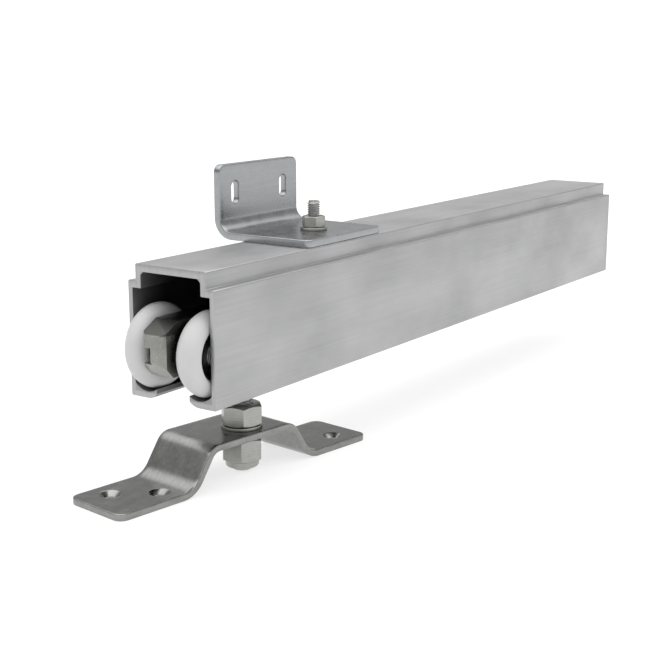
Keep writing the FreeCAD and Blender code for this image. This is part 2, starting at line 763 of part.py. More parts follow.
def make_lower_nut(doc):
    """The self-locking nut: a hexagon with a round collar that holds the locking ring."""
    top = lock_nut_top()
    hex_low = top - D.lock_hex
    low = top - D.lock_height
    body = new_body(doc, "lower_nut")
    hexagon(body, D.nut_flats, hex_low, D.lock_hex)
    bevel_hexagon(body, D.nut_flats, top, 1)
    bevel_hexagon(body, D.nut_flats, hex_low, -1)
    crimp = D.lock_crimp
    corners = [(0, low), (D.lock_collar - crimp, low), (D.lock_collar, low + crimp),
               (D.lock_collar, hex_low), (0, hex_low)]
    turn(body, outline(body, "xz", corners), "V_Axis")
    bore = circles(body, "xy", [(0, 0)], D.bolt_radius + D.running_gap, offset=low - CLEAR)
    extrude(body, "xy", bore, D.lock_height + THROUGH, cuts=True)
    seat = circles(body, "xy", [(0, 0)], D.lock_collar - D.lock_wall, offset=low - CLEAR)
    extrude(body, "xy", seat, D.insert_height + CLEAR, cuts=True)
    place(body, y=D.pendant_station, angle=D.nut_turn)
    return body


def make_locking_ring(doc):
    """The nylon ring in the lower nut's collar."""
    low = lock_nut_top() - D.lock_height
    body = ring(doc, "locking_ring", D.bolt_radius + D.running_gap,
                D.lock_collar - D.lock_wall, low, D.insert_height)
    place(body, y=D.pendant_station)
    return body


# --- door plate -------------------------------------------------------------------------

def make_door_plate(doc):
    """The cranked plate that is screwed to the top edge of the door: a raised middle, two
    sloped bends and two feet. Drawn as mitred parallel lines, then its bends are rounded."""
    half = D.plate_length / 2
    middle = D.plate_middle / 2
    sheet = D.plate_sheet
    run = D.plate_drop / tangent(D.plate_slope)
    mitre = sheet * tangent(D.plate_slope / 2)
    feet = -D.plate_drop
    crest_top = (middle, as_size(0))
    foot_top = (middle + run, feet)
    crest_low = (middle - mitre, -sheet)
    foot_low = (middle + run - mitre, feet - sheet)
    right = [(half, feet - sheet), (half, feet), foot_top, crest_top]
    under = [crest_low, foot_low]
    off = D.plate_offset
    side = D.plate_side

    def mirror(points):
        return [(-y, z) for y, z in reversed(points)]

    path = right + mirror(right) + mirror(under) + under
    corners = [(y + off, z) for y, z in path]
    body = new_body(doc, "door_plate")
    extrude(body, "yz", outline(body, "yz", corners, offset=side - D.plate_width / 2),
            D.plate_width)

    def bend_edges(point):
        """The two edges across the plate, one on each arm, through a corner of the path."""
        return edges_where(body, lambda a, b: close(a.y, b.y) and close(a.z, b.z)
                           and close(abs(a.y - off.value), point[0].value)
                           and close(a.z, point[1].value))

    for point, radius in ((crest_low, D.plate_bend_high), (foot_top, D.plate_bend_low),
                          (crest_top, D.plate_bend_high + sheet),
                          (foot_low, D.plate_bend_low + sheet)):
        round_edges(body, bend_edges(point), radius)
    ends = edges_where(body, lambda a, b: close(a.x, b.x) and close(a.y, b.y)
                       and close(abs(a.y - off.value), half.value))
    round_edges(body, ends, D.plate_corner)
    hole = circles(body, "xy", [(0, 0)], D.plate_hole, offset=-sheet - CLEAR)
    extrude(body, "xy", hole, sheet + THROUGH, cuts=True)
    for along, across in ((D.inner_screw, D.inner_screw_side),
                          (D.outer_screw, -D.outer_screw_side)):
        centres = [(side + across, off - along), (side - across, off + along)]
        holes = circles(body, "xy", centres, D.screw_hole, offset=feet - sheet - CLEAR)
        extrude(body, "xy", holes, sheet + THROUGH, cuts=True)
    rims = rims_at(body, D.screw_hole.value, feet.value)
    round_edges(body, rims, D.screw_sink, kind="Chamfer")
    place(body, y=D.pendant_station, z=plate_top(), angle=D.plate_turn)
    return body


# --- the whole --------------------------------------------------------------------------

def build(doc):
    """Makes every sub-part and returns them."""
    made = [make_track(doc), make_bracket(doc), make_bracket_bolt(doc),
            make_bracket_washer(doc), make_bracket_nut(doc), make_truck_body(doc)]
    for end, facing in ENDS:
        made.append(make_axle(doc, end, facing))
        for side, sign in SIDES:
            made += make_truck_rings(doc, end, facing, side, sign)
            made += make_wheel(doc, end, facing, side, sign)
    made += [make_bush(doc), make_thrust_washer(doc), make_pendant_bolt(doc),
             make_upper_nut(doc)]
    made += make_washers(doc)
    made += [make_door_plate(doc), make_lower_nut(doc), make_locking_ring(doc)]
    return made


def check(doc, made):
    """Stops if any object failed or any sub-part's shape is missing or broken."""
    for obj in doc.Objects:
        if "Invalid" in obj.State or "Error" in obj.State:
            raise RuntimeError(f"{obj.Name} is {obj.State}")
    for piece in made:
        if piece.Shape.isNull() or not piece.Shape.isValid():
            raise RuntimeError(f"{piece.Label} has no valid shape")


def write(made):
    os.makedirs("parts", exist_ok=True)
    for piece in made:
        piece.Shape.exportStep(f"parts/{piece.Label}.step")


D = Sizes(SIZES)
document = FreeCAD.newDocument("sliding_door_hardware")
make_sheet(document)
pieces = build(document)
document.recompute()
check(document, pieces)
write(pieces)
print(len(pieces), "pieces written")
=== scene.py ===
import json
import math

import bmesh
import bpy
import numpy as np
from bpy.props import FloatProperty, FloatVectorProperty, IntProperty, PointerProperty
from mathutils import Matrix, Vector
from mathutils.geometry import delaunay_2d_cdt


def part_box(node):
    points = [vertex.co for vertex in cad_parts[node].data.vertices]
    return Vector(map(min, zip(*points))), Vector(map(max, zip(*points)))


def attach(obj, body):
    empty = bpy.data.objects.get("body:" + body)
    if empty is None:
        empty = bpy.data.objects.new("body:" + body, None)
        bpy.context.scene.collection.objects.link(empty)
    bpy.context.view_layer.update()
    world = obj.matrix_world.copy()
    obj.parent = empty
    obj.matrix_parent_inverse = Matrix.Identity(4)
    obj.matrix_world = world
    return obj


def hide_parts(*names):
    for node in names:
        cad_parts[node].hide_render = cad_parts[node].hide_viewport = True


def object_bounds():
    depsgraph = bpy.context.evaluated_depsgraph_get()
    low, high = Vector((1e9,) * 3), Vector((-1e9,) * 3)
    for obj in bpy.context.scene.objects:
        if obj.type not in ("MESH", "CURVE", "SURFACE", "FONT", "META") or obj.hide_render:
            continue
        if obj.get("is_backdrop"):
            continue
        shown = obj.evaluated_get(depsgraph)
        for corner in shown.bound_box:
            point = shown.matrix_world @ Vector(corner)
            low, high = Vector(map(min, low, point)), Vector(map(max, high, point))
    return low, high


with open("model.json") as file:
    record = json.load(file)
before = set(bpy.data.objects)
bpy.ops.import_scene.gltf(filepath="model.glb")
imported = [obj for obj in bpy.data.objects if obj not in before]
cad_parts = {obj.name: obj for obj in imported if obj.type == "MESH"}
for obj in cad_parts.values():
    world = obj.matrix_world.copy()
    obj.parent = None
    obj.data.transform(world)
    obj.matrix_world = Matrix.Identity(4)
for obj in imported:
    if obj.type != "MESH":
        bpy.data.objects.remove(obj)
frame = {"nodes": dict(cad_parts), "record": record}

bl_info = {
    "name": "Sliding Door Track Kit",
    "version": (1, 0, 0),
    "blender": (4, 5, 0),
    "location": "View3D > Sidebar > Door Track",
    "description": "Box track, wall bracket, four-wheel truck, pendant bolt and door plate",
    "category": "Object",
}

# Lengths are metres. The frame's axes: +Y along the track, +Z up, +X away from the wall.
MM = 0.001
ENDS = ("front", "rear")
SIDES = ("left", "right")
CORNERS = [f"{end}_{side}" for end in ENDS for side in SIDES]
# a hexagon's bevel: a cone that meets the flat face at this share of the width across flats,
# reaches past the corners at the second share, and drops by this much of its run
BEVEL_INSIDE = 0.475
BEVEL_OUTSIDE = 0.62
BEVEL_DROP = 0.5
# what is broken off a hexagon's corners, and the width of the rounding there
HEX_BROKEN = 0.12 * MM
HEX_BLEND = 0.22 * MM
# a thread's depth, the flat at its root and its flanks, as shares of the pitch
THREAD_DEPTH = 0.6134
ROOT_FLAT = 0.25
FLANKS = 0.625
THREAD_ROWS = 14             # rows of points to a pitch
HEX_CREASE = 38.0            # degrees: steeper edges are sharp on bolts and nuts
JOINED = 1e-7                # points closer than this are one
TINY = 1e-9                  # rounding error in a length
# the grid on a sheet's faces, along and across
SHEET_GRID = (0.9 * MM, 2.4 * MM)
# bolts: the shank's radius, the length of the thread and the chamfer at its point
PENDANT_SHANK = (5.0 * MM, 54.0 * MM, 0.9 * MM)
BRACKET_SHANK = (3.0 * MM, 16.5 * MM, 0.75 * MM)
# bore radii of the plain rings, by node
BORES = {
    "bracket_washer": 3.2 * MM,
    "upper_washer": 5.25 * MM,
    "lower_washer": 5.25 * MM,
    "thrust_washer": 5.0 * MM,
    "locking_ring": 5.05 * MM,
    "spacer": 4.0 * MM,
    "axle_ring": 4.0 * MM,
    "bearing_shield": 6.35 * MM,
}
BODY_OF = {node: body for body, nodes in frame["record"]["behaviour"]["bodies"].items()
           for node in nodes}


def span(node):
    """The lowest corner, the highest corner and the middle of a CAD node."""
    low, high = (np.array(corner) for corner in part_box(node))
    return low, high, (low + high) / 2


# --- sizes and colours that a user would change ---

def length(name, description, size):
    """A length property; size is in millimetres."""
    return FloatProperty(name=name, description=description, default=size * MM,
                         unit="LENGTH", precision=5)


def lengths(name, description, *sizes):
    """A property of two or three lengths; sizes are in millimetres."""
    return FloatVectorProperty(name=name, description=description, size=len(sizes),
                               default=[size * MM for size in sizes], unit="LENGTH")


def angle(name, description, turn):
    """An angle property; turn is in degrees."""
    return FloatProperty(name=name, description=description, default=math.radians(turn),
                         subtype="ANGLE")


def tint(name, description, default):
    """A linear colour property."""
    return FloatVectorProperty(name=name, description=description, default=default,
                               subtype="COLOR", min=0.0, max=1.0)


class TrackSizes(bpy.types.PropertyGroup):
    shoulder: length("Shoulder", "Underside of the track to its shoulders", 49.65)
    crown_width: length("Crown width", "Over the raised middle", 37.6)
    side_wall: length("Side wall", "Thickness of the side walls", 2.3)
    crown_side: length("Crown side", "Side walls of the raised middle", 2.8)
    crown_top: length("Crown top", "Thickness of the top", 3.3)
    shoulder_wall: length("Shoulder wall", "Thickness under the shoulders", 3.15)
    slot: length("Slot", "Slot under the track", 17.8)
    rail_line: length("Raceway line", "Centre plane to a raceway's lowest line", 14.0)
    rail_level: length("Raceway level", "Lowest line of a raceway", 2.9)
    rail_radius: length("Raceway radius", "Radius of a raceway", 9.0)
    lip_radius: length("Lip radius", "Radius of a lip's underside", 7.5)
    outer_round: length("Outer rounding", "Long outer edges", 0.7)
    inner_round: length("Inner rounding", "Long inner edges", 0.35)
    saw_edge: length("Sawn edge", "Chamfer left round the sawn ends", 0.22)
    colour: tint("Aluminium", "Mill finish aluminium", (0.43, 0.43, 0.435))


class SheetSizes(bpy.types.PropertyGroup):
    bracket_bend: length("Bracket bend", "Inside radius of the bracket's bend", 6.0)
    bracket_corner: length("Bracket corner", "Corner radius of the bracket", 3.5)
    bracket_sheet: length("Bracket sheet", "Thickness of the bracket", 3.5)
    wall_slot_width: length("Slot width", "Width of the wall slots", 5.5)
    wall_slot_length: length("Slot length", "Length of the wall slots", 10.5)
    wall_slot_spacing: length("Slot spacing", "Between the wall slots", 37.0)
    stud_hole: length("Stud hole", "Radius of the bracket's bolt hole", 3.3)
    plate_sheet: length("Plate sheet", "Thickness of the door plate", 3.0)
    plate_width: length("Plate width", "Width of the door plate", 34.0)
    plate_length: length("Plate length", "Length of the door plate", 150.0)
    plate_offset: length("Plate offset", "Middle of the plate from the pendant, along it", -4.0)
    plate_side: length("Plate side", "Middle of the plate from the pendant, across it", -4.5)
    plate_turn: angle("Plate turn", "Door plate about the pendant", -8.0)
    plate_drop: length("Plate drop", "Middle down to the feet", 17.0)
    plate_middle: length("Plate middle", "Raised middle between the bends", 49.0)
    plate_slope: angle("Plate slope", "Slope of the cranked bends", 56.0)
    plate_bend_high: length("Upper bends", "Inside radius of the upper bends", 5.0)
    plate_bend_low: length("Lower bends", "Inside radius of the lower bends", 10.0)
    plate_corner: length("Plate corner", "Corner radius of the door plate", 4.5)
    plate_hole: length("Pendant hole", "Radius of the hole for the pendant", 5.5)
    screw_hole: length("Screw hole", "Radius of the screw holes", 2.6)
    screw_sink: length("Countersink", "Width and depth of a countersink", 2.0)
    inner_screw: lengths("Inner screws", "Inner screw holes along and across", 46.2, 6.8)
    outer_screw: lengths("Outer screws", "Outer screw holes along and across", 61.5, -6.6)
    rim: length("Rim", "Rounding of the sheet metal's edges", 0.45)
    bracket_colour: tint("Bracket", "Zinc-plated sheet", (0.33, 0.34, 0.345))
    plate_colour: tint("Door plate", "Plated steel", (0.26, 0.26, 0.254))


class WheelSizes(bpy.types.PropertyGroup):
    crown: length("Crown", "Radius of the rounded tread", 6.0)
    recess: length("Recess", "Radius of the recess beside the bearing", 12.2)
    seat: length("Seat", "Outside radius of the bearing", 11.0)
    land: length("Outer land", "Bore of the bearing's outer ring", 9.0)
    inner_land: length("Inner land", "Outside of the bearing's inner ring", 6.0)
    ball_circle: length("Ball circle", "Radius of the ball circle", 7.5)
    groove: length("Groove", "Radius of the ball grooves", 2.06)
    parting_line: length("Parting line", "Height of the moulding's parting line", 0.06)
    colour: tint("Nylon", "Moulded white nylon", (0.56, 0.56, 0.56))


class FasteningSizes(bpy.types.PropertyGroup):
    bolt_pitch: length("Pendant pitch", "Pitch of the pendant bolt's thread", 1.5)
    stud_pitch: length("Bracket pitch", "Pitch of the bracket bolt's thread", 1.0)
    bolt_head: length("Pendant head", "Height of the pendant bolt's head", 6.4)
    stud_head: length("Bracket head", "Height of the bracket bolt's head", 4.0)
    nut_flats: length("Nut", "Across flats of the pendant's nuts", 17.0)
    stud_flats: length("Small nut", "Across flats of the bracket's nut and bolt", 10.0)
    bolt_flats: length("Pendant flats", "Across flats of the pendant bolt", 16.0)
    lock_hex: length("Locking hexagon", "Hexagon of the self-locking nut", 10.2)
    lock_collar: length("Collar", "Radius of the self-locking nut's collar", 7.5)
    lock_wall: length("Collar wall", "Wall of the collar", 0.9)
    nut_turn: angle("Nut turn", "Corner of the lower nut from +X", 8.0)
    upper_turn: angle("Upper nut turn", "Corner of the upper nut from +X", 15.0)
    stud_turn: angle("Small nut turn", "Corner of the bracket's nut", 18.0)
    colour: tint("Zinc", "Zinc-plated nuts", (0.37, 0.37, 0.35))
    bolt_colour: tint("Bolt", "Zinc-plated bolts", (0.42, 0.42, 0.41))


class TruckSizes(bpy.types.PropertyGroup):
    edge: length("Bar edge", "Rounding of the bar's edges", 0.45)
    nose_high: length("Nose", "Underside of the bar to the top of its nose's face", 17.6)
    ring_edge: length("Ring edge", "Rounding of rings and washers", 0.25)
    steps: IntProperty(name="Steps", description="Columns round a turned piece", default=96,
                       min=24, max=256)
    colour: tint("Truck", "Plated steel bar", (0.27, 0.27, 0.25))


class StageSizes(bpy.types.PropertyGroup):
    eye: lengths("Camera", "Camera's place", 376.545, -482.471, 67.626)
    azimuth: angle("Azimuth", "Camera round the upright axis", 34.4214)
    tilt: angle("Tilt", "Camera's view below the horizon", 12.8009)
    lens: FloatProperty(name="Lens", description="Focal length on a 36 mm sensor, in mm",
                        default=68.921)
    floor: tint("Floor", "Pale floor", (0.35, 0.35, 0.35))


# --- shapes in a plane ---

def rounded(corners, steps=5):
    """A closed loop through corners (a, b, radius). Each corner becomes an arc that leaves one
    side at radius * tan(half the turn) before the corner and joins the next as far after it."""
    corners = np.array(corners, float)
    points, radii = corners[:, :2], corners[:, 2]
    arrive = points - np.roll(points, 1, axis=0)
    leave = np.roll(points, -1, axis=0) - points
    arrive /= np.linalg.norm(arrive, axis=1)[:, None]
    leave /= np.linalg.norm(leave, axis=1)[:, None]
    cross = arrive[:, 0] * leave[:, 1] - arrive[:, 1] * leave[:, 0]
    turn = np.arctan2(cross, (arrive * leave).sum(1))
    start = points - arrive * (radii * np.tan(np.abs(turn) / 2))[:, None]
    left = np.column_stack([-arrive[:, 1], arrive[:, 0]]) * np.sign(turn)[:, None]
    centre = start + left * radii[:, None]
    angle = turn[:, None] * np.linspace(0, 1, steps + 1)
    arm = (start - centre)[:, None, :]
    a = centre[:, :1] + arm[..., 0] * np.cos(angle) - arm[..., 1] * np.sin(angle)
    b = centre[:, 1:] + arm[..., 0] * np.sin(angle) + arm[..., 1] * np.cos(angle)
    loop = np.stack([a, b], -1).reshape(-1, 2)
    apart = np.linalg.norm(loop - np.roll(loop, 1, axis=0), axis=1)
    return loop[apart > TINY]


def arc(centre, radius, first, last, steps):
    """Points on a circle from one angle to another, both ends included."""
    angle = np.linspace(first, last, steps + 1)
    return np.column_stack([centre[0] + radius * np.cos(angle),
                            centre[1] + radius * np.sin(angle)])


def circle(centre, radius, steps=48):
    """A hole's loop, clockwise, so that the metal is on its left."""
    return arc(centre, radius, 2 * math.pi, 0, steps)[:-1]


def slot_hole(centre, length_a, width_b, steps=14):
    """A slot's loop, clockwise: two half circles at the ends of its length."""
    radius = width_b / 2
    reach = length_a / 2 - radius
    right = arc((centre[0] + reach, centre[1]), radius, math.pi / 2, -math.pi / 2, steps)
    left = arc((centre[0] - reach, centre[1]), radius, -math.pi / 2, -1.5 * math.pi, steps)
    return np.concatenate([right, left])


def divided(loop, step):
    """The loop with each side cut into equal parts no longer than step: part number k of n
    starts at the side's start plus k / n of the side."""
    side = np.roll(loop, -1, axis=0) - loop
    parts = np.ceil(np.linalg.norm(side, axis=1) / step).astype(int)
    number = np.arange(parts.sum()) - np.repeat(np.cumsum(parts) - parts, parts)
    share = (number / np.repeat(parts, parts))[:, None]
    return np.repeat(loop, parts, axis=0) + np.repeat(side, parts, axis=0) * share


def inset(loop, depth):
    """The loop moved to its left by depth: each point goes along the bisector of its two
    sides, by depth over the cosine of half the turn."""
    side = np.roll(loop, -1, axis=0) - loop
    normal = np.column_stack([-side[:, 1], side[:, 0]])
    normal /= np.linalg.norm(normal, axis=1)[:, None]
    bisector = normal + np.roll(normal, 1, axis=0)
    return loop + bisector * (2 * depth / (bisector ** 2).sum(1))[:, None]


def inside(points, loops):
    """Which points have an odd number of the loops' sides to their right."""
    odd = np.zeros(len(points), bool)
    for loop in loops:
        after = np.roll(loop, -1, axis=0)
        spans = (loop[:, 1] > points[:, None, 1]) != (after[:, 1] > points[:, None, 1])
        rise = np.where(after[:, 1] == loop[:, 1], 1.0, after[:, 1] - loop[:, 1])
        meets = loop[:, 0] + (after[:, 0] - loop[:, 0]) * (points[:, None, 1] - loop[:, 1]) / rise
        odd ^= ((spans & (points[:, None, 0] < meets)).sum(1) % 2).astype(bool)
    return odd


def lattice(loops, step_a, step_b):
    """Grid points inside the loops that keep clear of them."""
    low, high = loops[0].min(0), loops[0].max(0)
    a, b = np.meshgrid(np.arange(low[0] + step_a, high[0], step_a),
                       np.arange(low[1] + step_b, high[1], step_b))
    points = np.column_stack([a.ravel(), b.ravel()])
    points = points[inside(points, loops)]
    rims = np.concatenate(loops)
    apart = np.linalg.norm(points[:, None] - rims[None], axis=2).min(1)
    return points[apart > 0.6 * min(step_a, step_b)]


# --- surfaces ---

def grid_faces(rows, columns, wrap_rows=False):
    """The four-sided faces of a grid of points. Each row closes on itself, and wrap_rows joins
    the last row to the first."""
    row = np.arange(rows if wrap_rows else rows - 1)[:, None]
    column = np.arange(columns)[None, :]
    next_row, next_column = (row + 1) % rows, (column + 1) % columns
    corners = [row * columns + column, row * columns + next_column,
               next_row * columns + next_column, next_row * columns + column]
    return np.stack(corners, -1).reshape(-1, 4)


def fill(points, counts, loops):
    """Triangles between loops of the given point counts, with any spare points inside."""
    sides, base = [], 0
    for count in counts:
        ring = np.arange(count) + base
        sides += np.column_stack([ring, np.roll(ring, -1)]).tolist()
        base += count
    flat = [Vector(point) for point in points.tolist()]
    made = delaunay_2d_cdt(flat, sides, [], 0, TINY)
    back = np.array([sources[0] for sources in made[3]])
    triangles = back[np.array(made[2])]
    return triangles[inside(points[triangles].mean(1), loops)]


def slab(rims, place, step=None):
    """A solid between two fills. Each rim is a loop with its metal on the left and an edge of
    (depth, level) rows: at a row the loop is inset by depth and lies at level. The first and
    last rows are filled, and place maps (a, b, level) to the piece's own space."""
    coords, faces, ends, base = [], [], ([], []), 0
    for loop, edge in rims:
        rows = [np.column_stack([inset(loop, depth), np.full(len(loop), level)])
                for depth, level in edge]
        coords += rows
        faces += (grid_faces(len(edge), len(loop)) + base).tolist()
        ends[0].append((rows[0], base))
        ends[1].append((rows[-1], base + len(loop) * (len(edge) - 1)))
        base += len(loop) * len(edge)
    for top, rings in enumerate(ends):
        loops = [row[:, :2] for row, _ in rings]
        spare = lattice(loops, *step) if step else np.empty((0, 2))
        index = np.concatenate([np.arange(len(row)) + first for row, first in rings]
                               + [np.arange(len(spare)) + base])
        points = np.concatenate(loops + [spare])
        triangles = index[fill(points, [len(loop) for loop in loops], loops)]
        faces += (triangles if top else triangles[:, ::-1]).tolist()
        coords.append(np.column_stack([spare, np.full(len(spare), rings[0][0][0, 2])]))
        base += len(spare)
    coords = np.concatenate(coords)
    return np.column_stack(place(coords[:, 0], coords[:, 1], coords[:, 2])), faces


def edge_rows(low, high, rim, steps=3):
    """The rows of a plain edge between two levels, rounded by quarter circles of radius rim:
    depth rim * (1 - sin), level rim * (1 - cos)."""
    angle = np.linspace(0, math.pi / 2, steps + 1)
    first = np.column_stack([rim * (1 - np.sin(angle)), low + rim * (1 - np.cos(angle))])
    last = np.column_stack([first[::-1, 0], high - rim * (1 - np.cos(angle[::-1]))])
    return np.concatenate([first, last])


def sunk_rows(low, high, rim, sink):
    """The rows of a countersunk hole whose cone opens at the low level: depth falls from sink
    to nothing over a height of sink."""
    cone = np.array([(sink + rim * 0.5, low), (sink + rim * 0.1, low + rim * 0.12),
                     (sink - rim * 0.3, low + rim * 0.4), (rim * 0.3, low + sink - rim * 0.3),
                     (0.0, low + sink)])
    return np.concatenate([cone, edge_rows(low, high, rim)[-4:]])


def bent(runs, start, heading):
    """The path of a bent sheet's middle. runs are (length, curvature) pairs, and the returned
    function gives (p, q, heading) at distances s: over a run of curvature k the heading turns
    by k * s, and the place moves by the integral of its cosine and sine."""
    def path(s):
        """The place and the heading at each distance s, run after run."""
        p, q, direction = np.full(s.shape, start[0]), np.full(s.shape, start[1]), heading
        travelled = 0.0
        turned = np.full(s.shape, heading)
        for reach, curve in runs:
            part = np.clip(s - travelled, 0, reach)
            if curve == 0:
                p += part * math.cos(direction)
                q += part * math.sin(direction)
            else:
                p += (np.sin(direction + curve * part) - math.sin(direction)) / curve
                q += (math.cos(direction) - np.cos(direction + curve * part)) / curve
                turned += curve * part
                direction += curve * reach
            travelled += reach
        return p, q, turned
    return path


def softer(a, b, blend):
    """The smaller of two radii, rounded where they meet over a width of blend."""
    return np.minimum(a, b) - np.maximum(blend - np.abs(a - b), 0) ** 2 / (4 * blend)


def hexed(flats, corner):
    """Cuts a turned shape to a hexagon: the radius is at most half the width across flats over
    the cosine of the angle from the nearest flat's middle, with the corners just broken."""
    def shape(radius, _, around):
        """The radius inside the hexagon."""
        off = (around - corner) % (math.pi / 3) - math.pi / 6
        flat = flats / 2 / np.cos(off)
        broken = flats / 2 / math.cos(math.pi / 6) - HEX_BROKEN
        return softer(radius, softer(flat, broken, HEX_BLEND), HEX_BLEND)
    return shape


def threaded(major, pitch, low, high):
    """Cuts a right-hand thread: the phase is height over pitch less the angle's share of a
    turn, and the radius falls from the crest to the root along straight flanks."""
    depth = THREAD_DEPTH * pitch

    def shape(radius, height, around):
        """The radius with the thread cut where the shank's surface is."""
        phase = (height - low) / pitch - around / (2 * math.pi)
        wave = np.abs(2 * (phase % 1) - 1)
        crest = np.clip((wave - ROOT_FLAT) / FLANKS, 0, 1)
        fade = np.clip((high - height) / pitch, 0, 1)
        on = (radius > major - depth - JOINED) & (radius < major + JOINED)
        on = on & (height >= low) & (height <= high)
        return np.where(on, np.minimum(radius, major - depth * (1 - crest) * fade), radius)
    return shape


def even_angles(steps):
    """Columns at equal angles all the way round."""
    return np.arange(steps) * 2 * math.pi / steps


def hex_angles(corner, steps=16):
    """Columns round a hexagon, closer together near its corners: at a share p of the way from
    a flat's middle to its corner the angle is 30 degrees times 1.5 p less half of p cubed."""
    part = np.linspace(-1, 1, steps + 1)[:-1]
    off = math.pi / 6 * (1.5 * part - 0.5 * part ** 3)
    middles = corner + math.pi / 6 + np.arange(6) * math.pi / 3
    return (middles[:, None] + off).ravel()


def turned(profile, angles, centre, axis, shape=None):
    """A surface of revolution: each point (radius, height) of a closed profile goes round the
    axis, and shape may change the radius with the height and the angle. The second result is
    each point's distance along the profile, which the machining marks follow."""
    radius = profile[:, :1] + 0 * angles
    height = profile[:, 1:] + 0 * angles
    if shape:
        radius = shape(radius, height, angles + 0 * height)
    across, up = radius * np.cos(angles), radius * np.sin(angles)
    parts = (across, up, height) if axis == "z" else (height, across, up)
    coords = np.stack(parts, -1).reshape(-1, 3) + np.array(centre)
    faces = grid_faces(len(profile), len(angles), wrap_rows=True).tolist()
    along = np.cumsum(np.linalg.norm(np.diff(profile, axis=0, prepend=profile[:1]), axis=1))
    return coords, faces, np.repeat(along, len(angles))


# --- pieces ---

def seal(mesh):
    """Merges doubled points, which closes seams and poles, and turns every face outwards."""
    work = bmesh.new()
    work.from_mesh(mesh)
    bmesh.ops.remove_doubles(work, verts=work.verts, dist=JOINED)
    bmesh.ops.dissolve_degenerate(work, edges=work.edges, dist=1e-8)
    bmesh.ops.recalc_face_normals(work, faces=work.faces)
    work.to_mesh(mesh)
    work.free()


def add_mesh(name, mesh, node, material, crease=32.0):
    """Makes a mesh into a piece that stands for a CAD node, with its edges sharp where they
    turn by more than crease degrees."""
    seal(mesh)
    mesh.shade_smooth()
    mesh.set_sharp_from_angle(angle=math.radians(crease))
    mesh.materials.append(material)
    piece = bpy.data.objects.new(name, mesh)
    bpy.context.scene.collection.objects.link(piece)
    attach(piece, BODY_OF[node])
    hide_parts(node)
    return piece


def add_piece(name, shape, node, material, crease=32.0):
    """Makes points and faces into a piece, with the machining marks of a turned shape."""
    mesh = bpy.data.meshes.new(name)
    mesh.from_pydata(shape[0].tolist(), [], shape[1])
    if len(shape) > 2:
        marks = mesh.attributes.new("turning", "FLOAT", "POINT")
        marks.data.foreach_set("value", shape[2].astype(np.float32))
    add_mesh(name, mesh, node, material, crease)


def lathe(name, node, material, profile, axis="x", crease=32.0):
    """Turns a closed profile round the axis through a CAD node's middle."""
    x, y, z = span(node)[2]
    centre = (x, y, 0) if axis == "z" else (0, y, z)
    steps = bpy.context.scene.doortrack_truck.steps
    shape = turned(profile, even_angles(steps), centre, axis)
    add_piece(name, shape, node, material, crease)


def strip(whole, half, corner):
    """The outline of a sheet laid flat, from 0 to whole along it and from -half to half across
    it, with corners of that radius and its sides cut short for the bends."""
    corners = [(0, -half, corner), (whole, -half, corner), (whole, half, corner),
               (0, half, corner)]
    return divided(rounded(corners, steps=8), SHEET_GRID[0])


def keep_node(node, material):
    """Gives a CAD node whose shape is right its finish."""
    piece = frame["nodes"][node]
    piece.data.materials.clear()
    piece.data.materials.append(material)


# --- materials ---

class Flow:
    """A value on its way through a material; arithmetic on it adds Math nodes."""

    def __init__(self, finish, socket):
        self.finish = finish
        self.socket = socket

    def maths(self, operation, first, second):
        """A Math node on this value and another, or a number."""
        return self.finish.node("ShaderNodeMath", {"operation": operation},
                                {0: first, 1: second})

    def __add__(self, other):
        return self.maths("ADD", self, other)

    def __sub__(self, other):
        return self.maths("SUBTRACT", self, other)

    def __rsub__(self, other):
        return self.maths("SUBTRACT", other, self)

    def __mul__(self, other):
        return self.maths("MULTIPLY", self, other)

    def __gt__(self, other):
        return self.maths("GREATER_THAN", self, other)

    def __lt__(self, other):
        return self.maths("LESS_THAN", self, other)

    def __abs__(self):
        return self.maths("ABSOLUTE", self, 0.0)

    __radd__ = __add__
    __rmul__ = __mul__


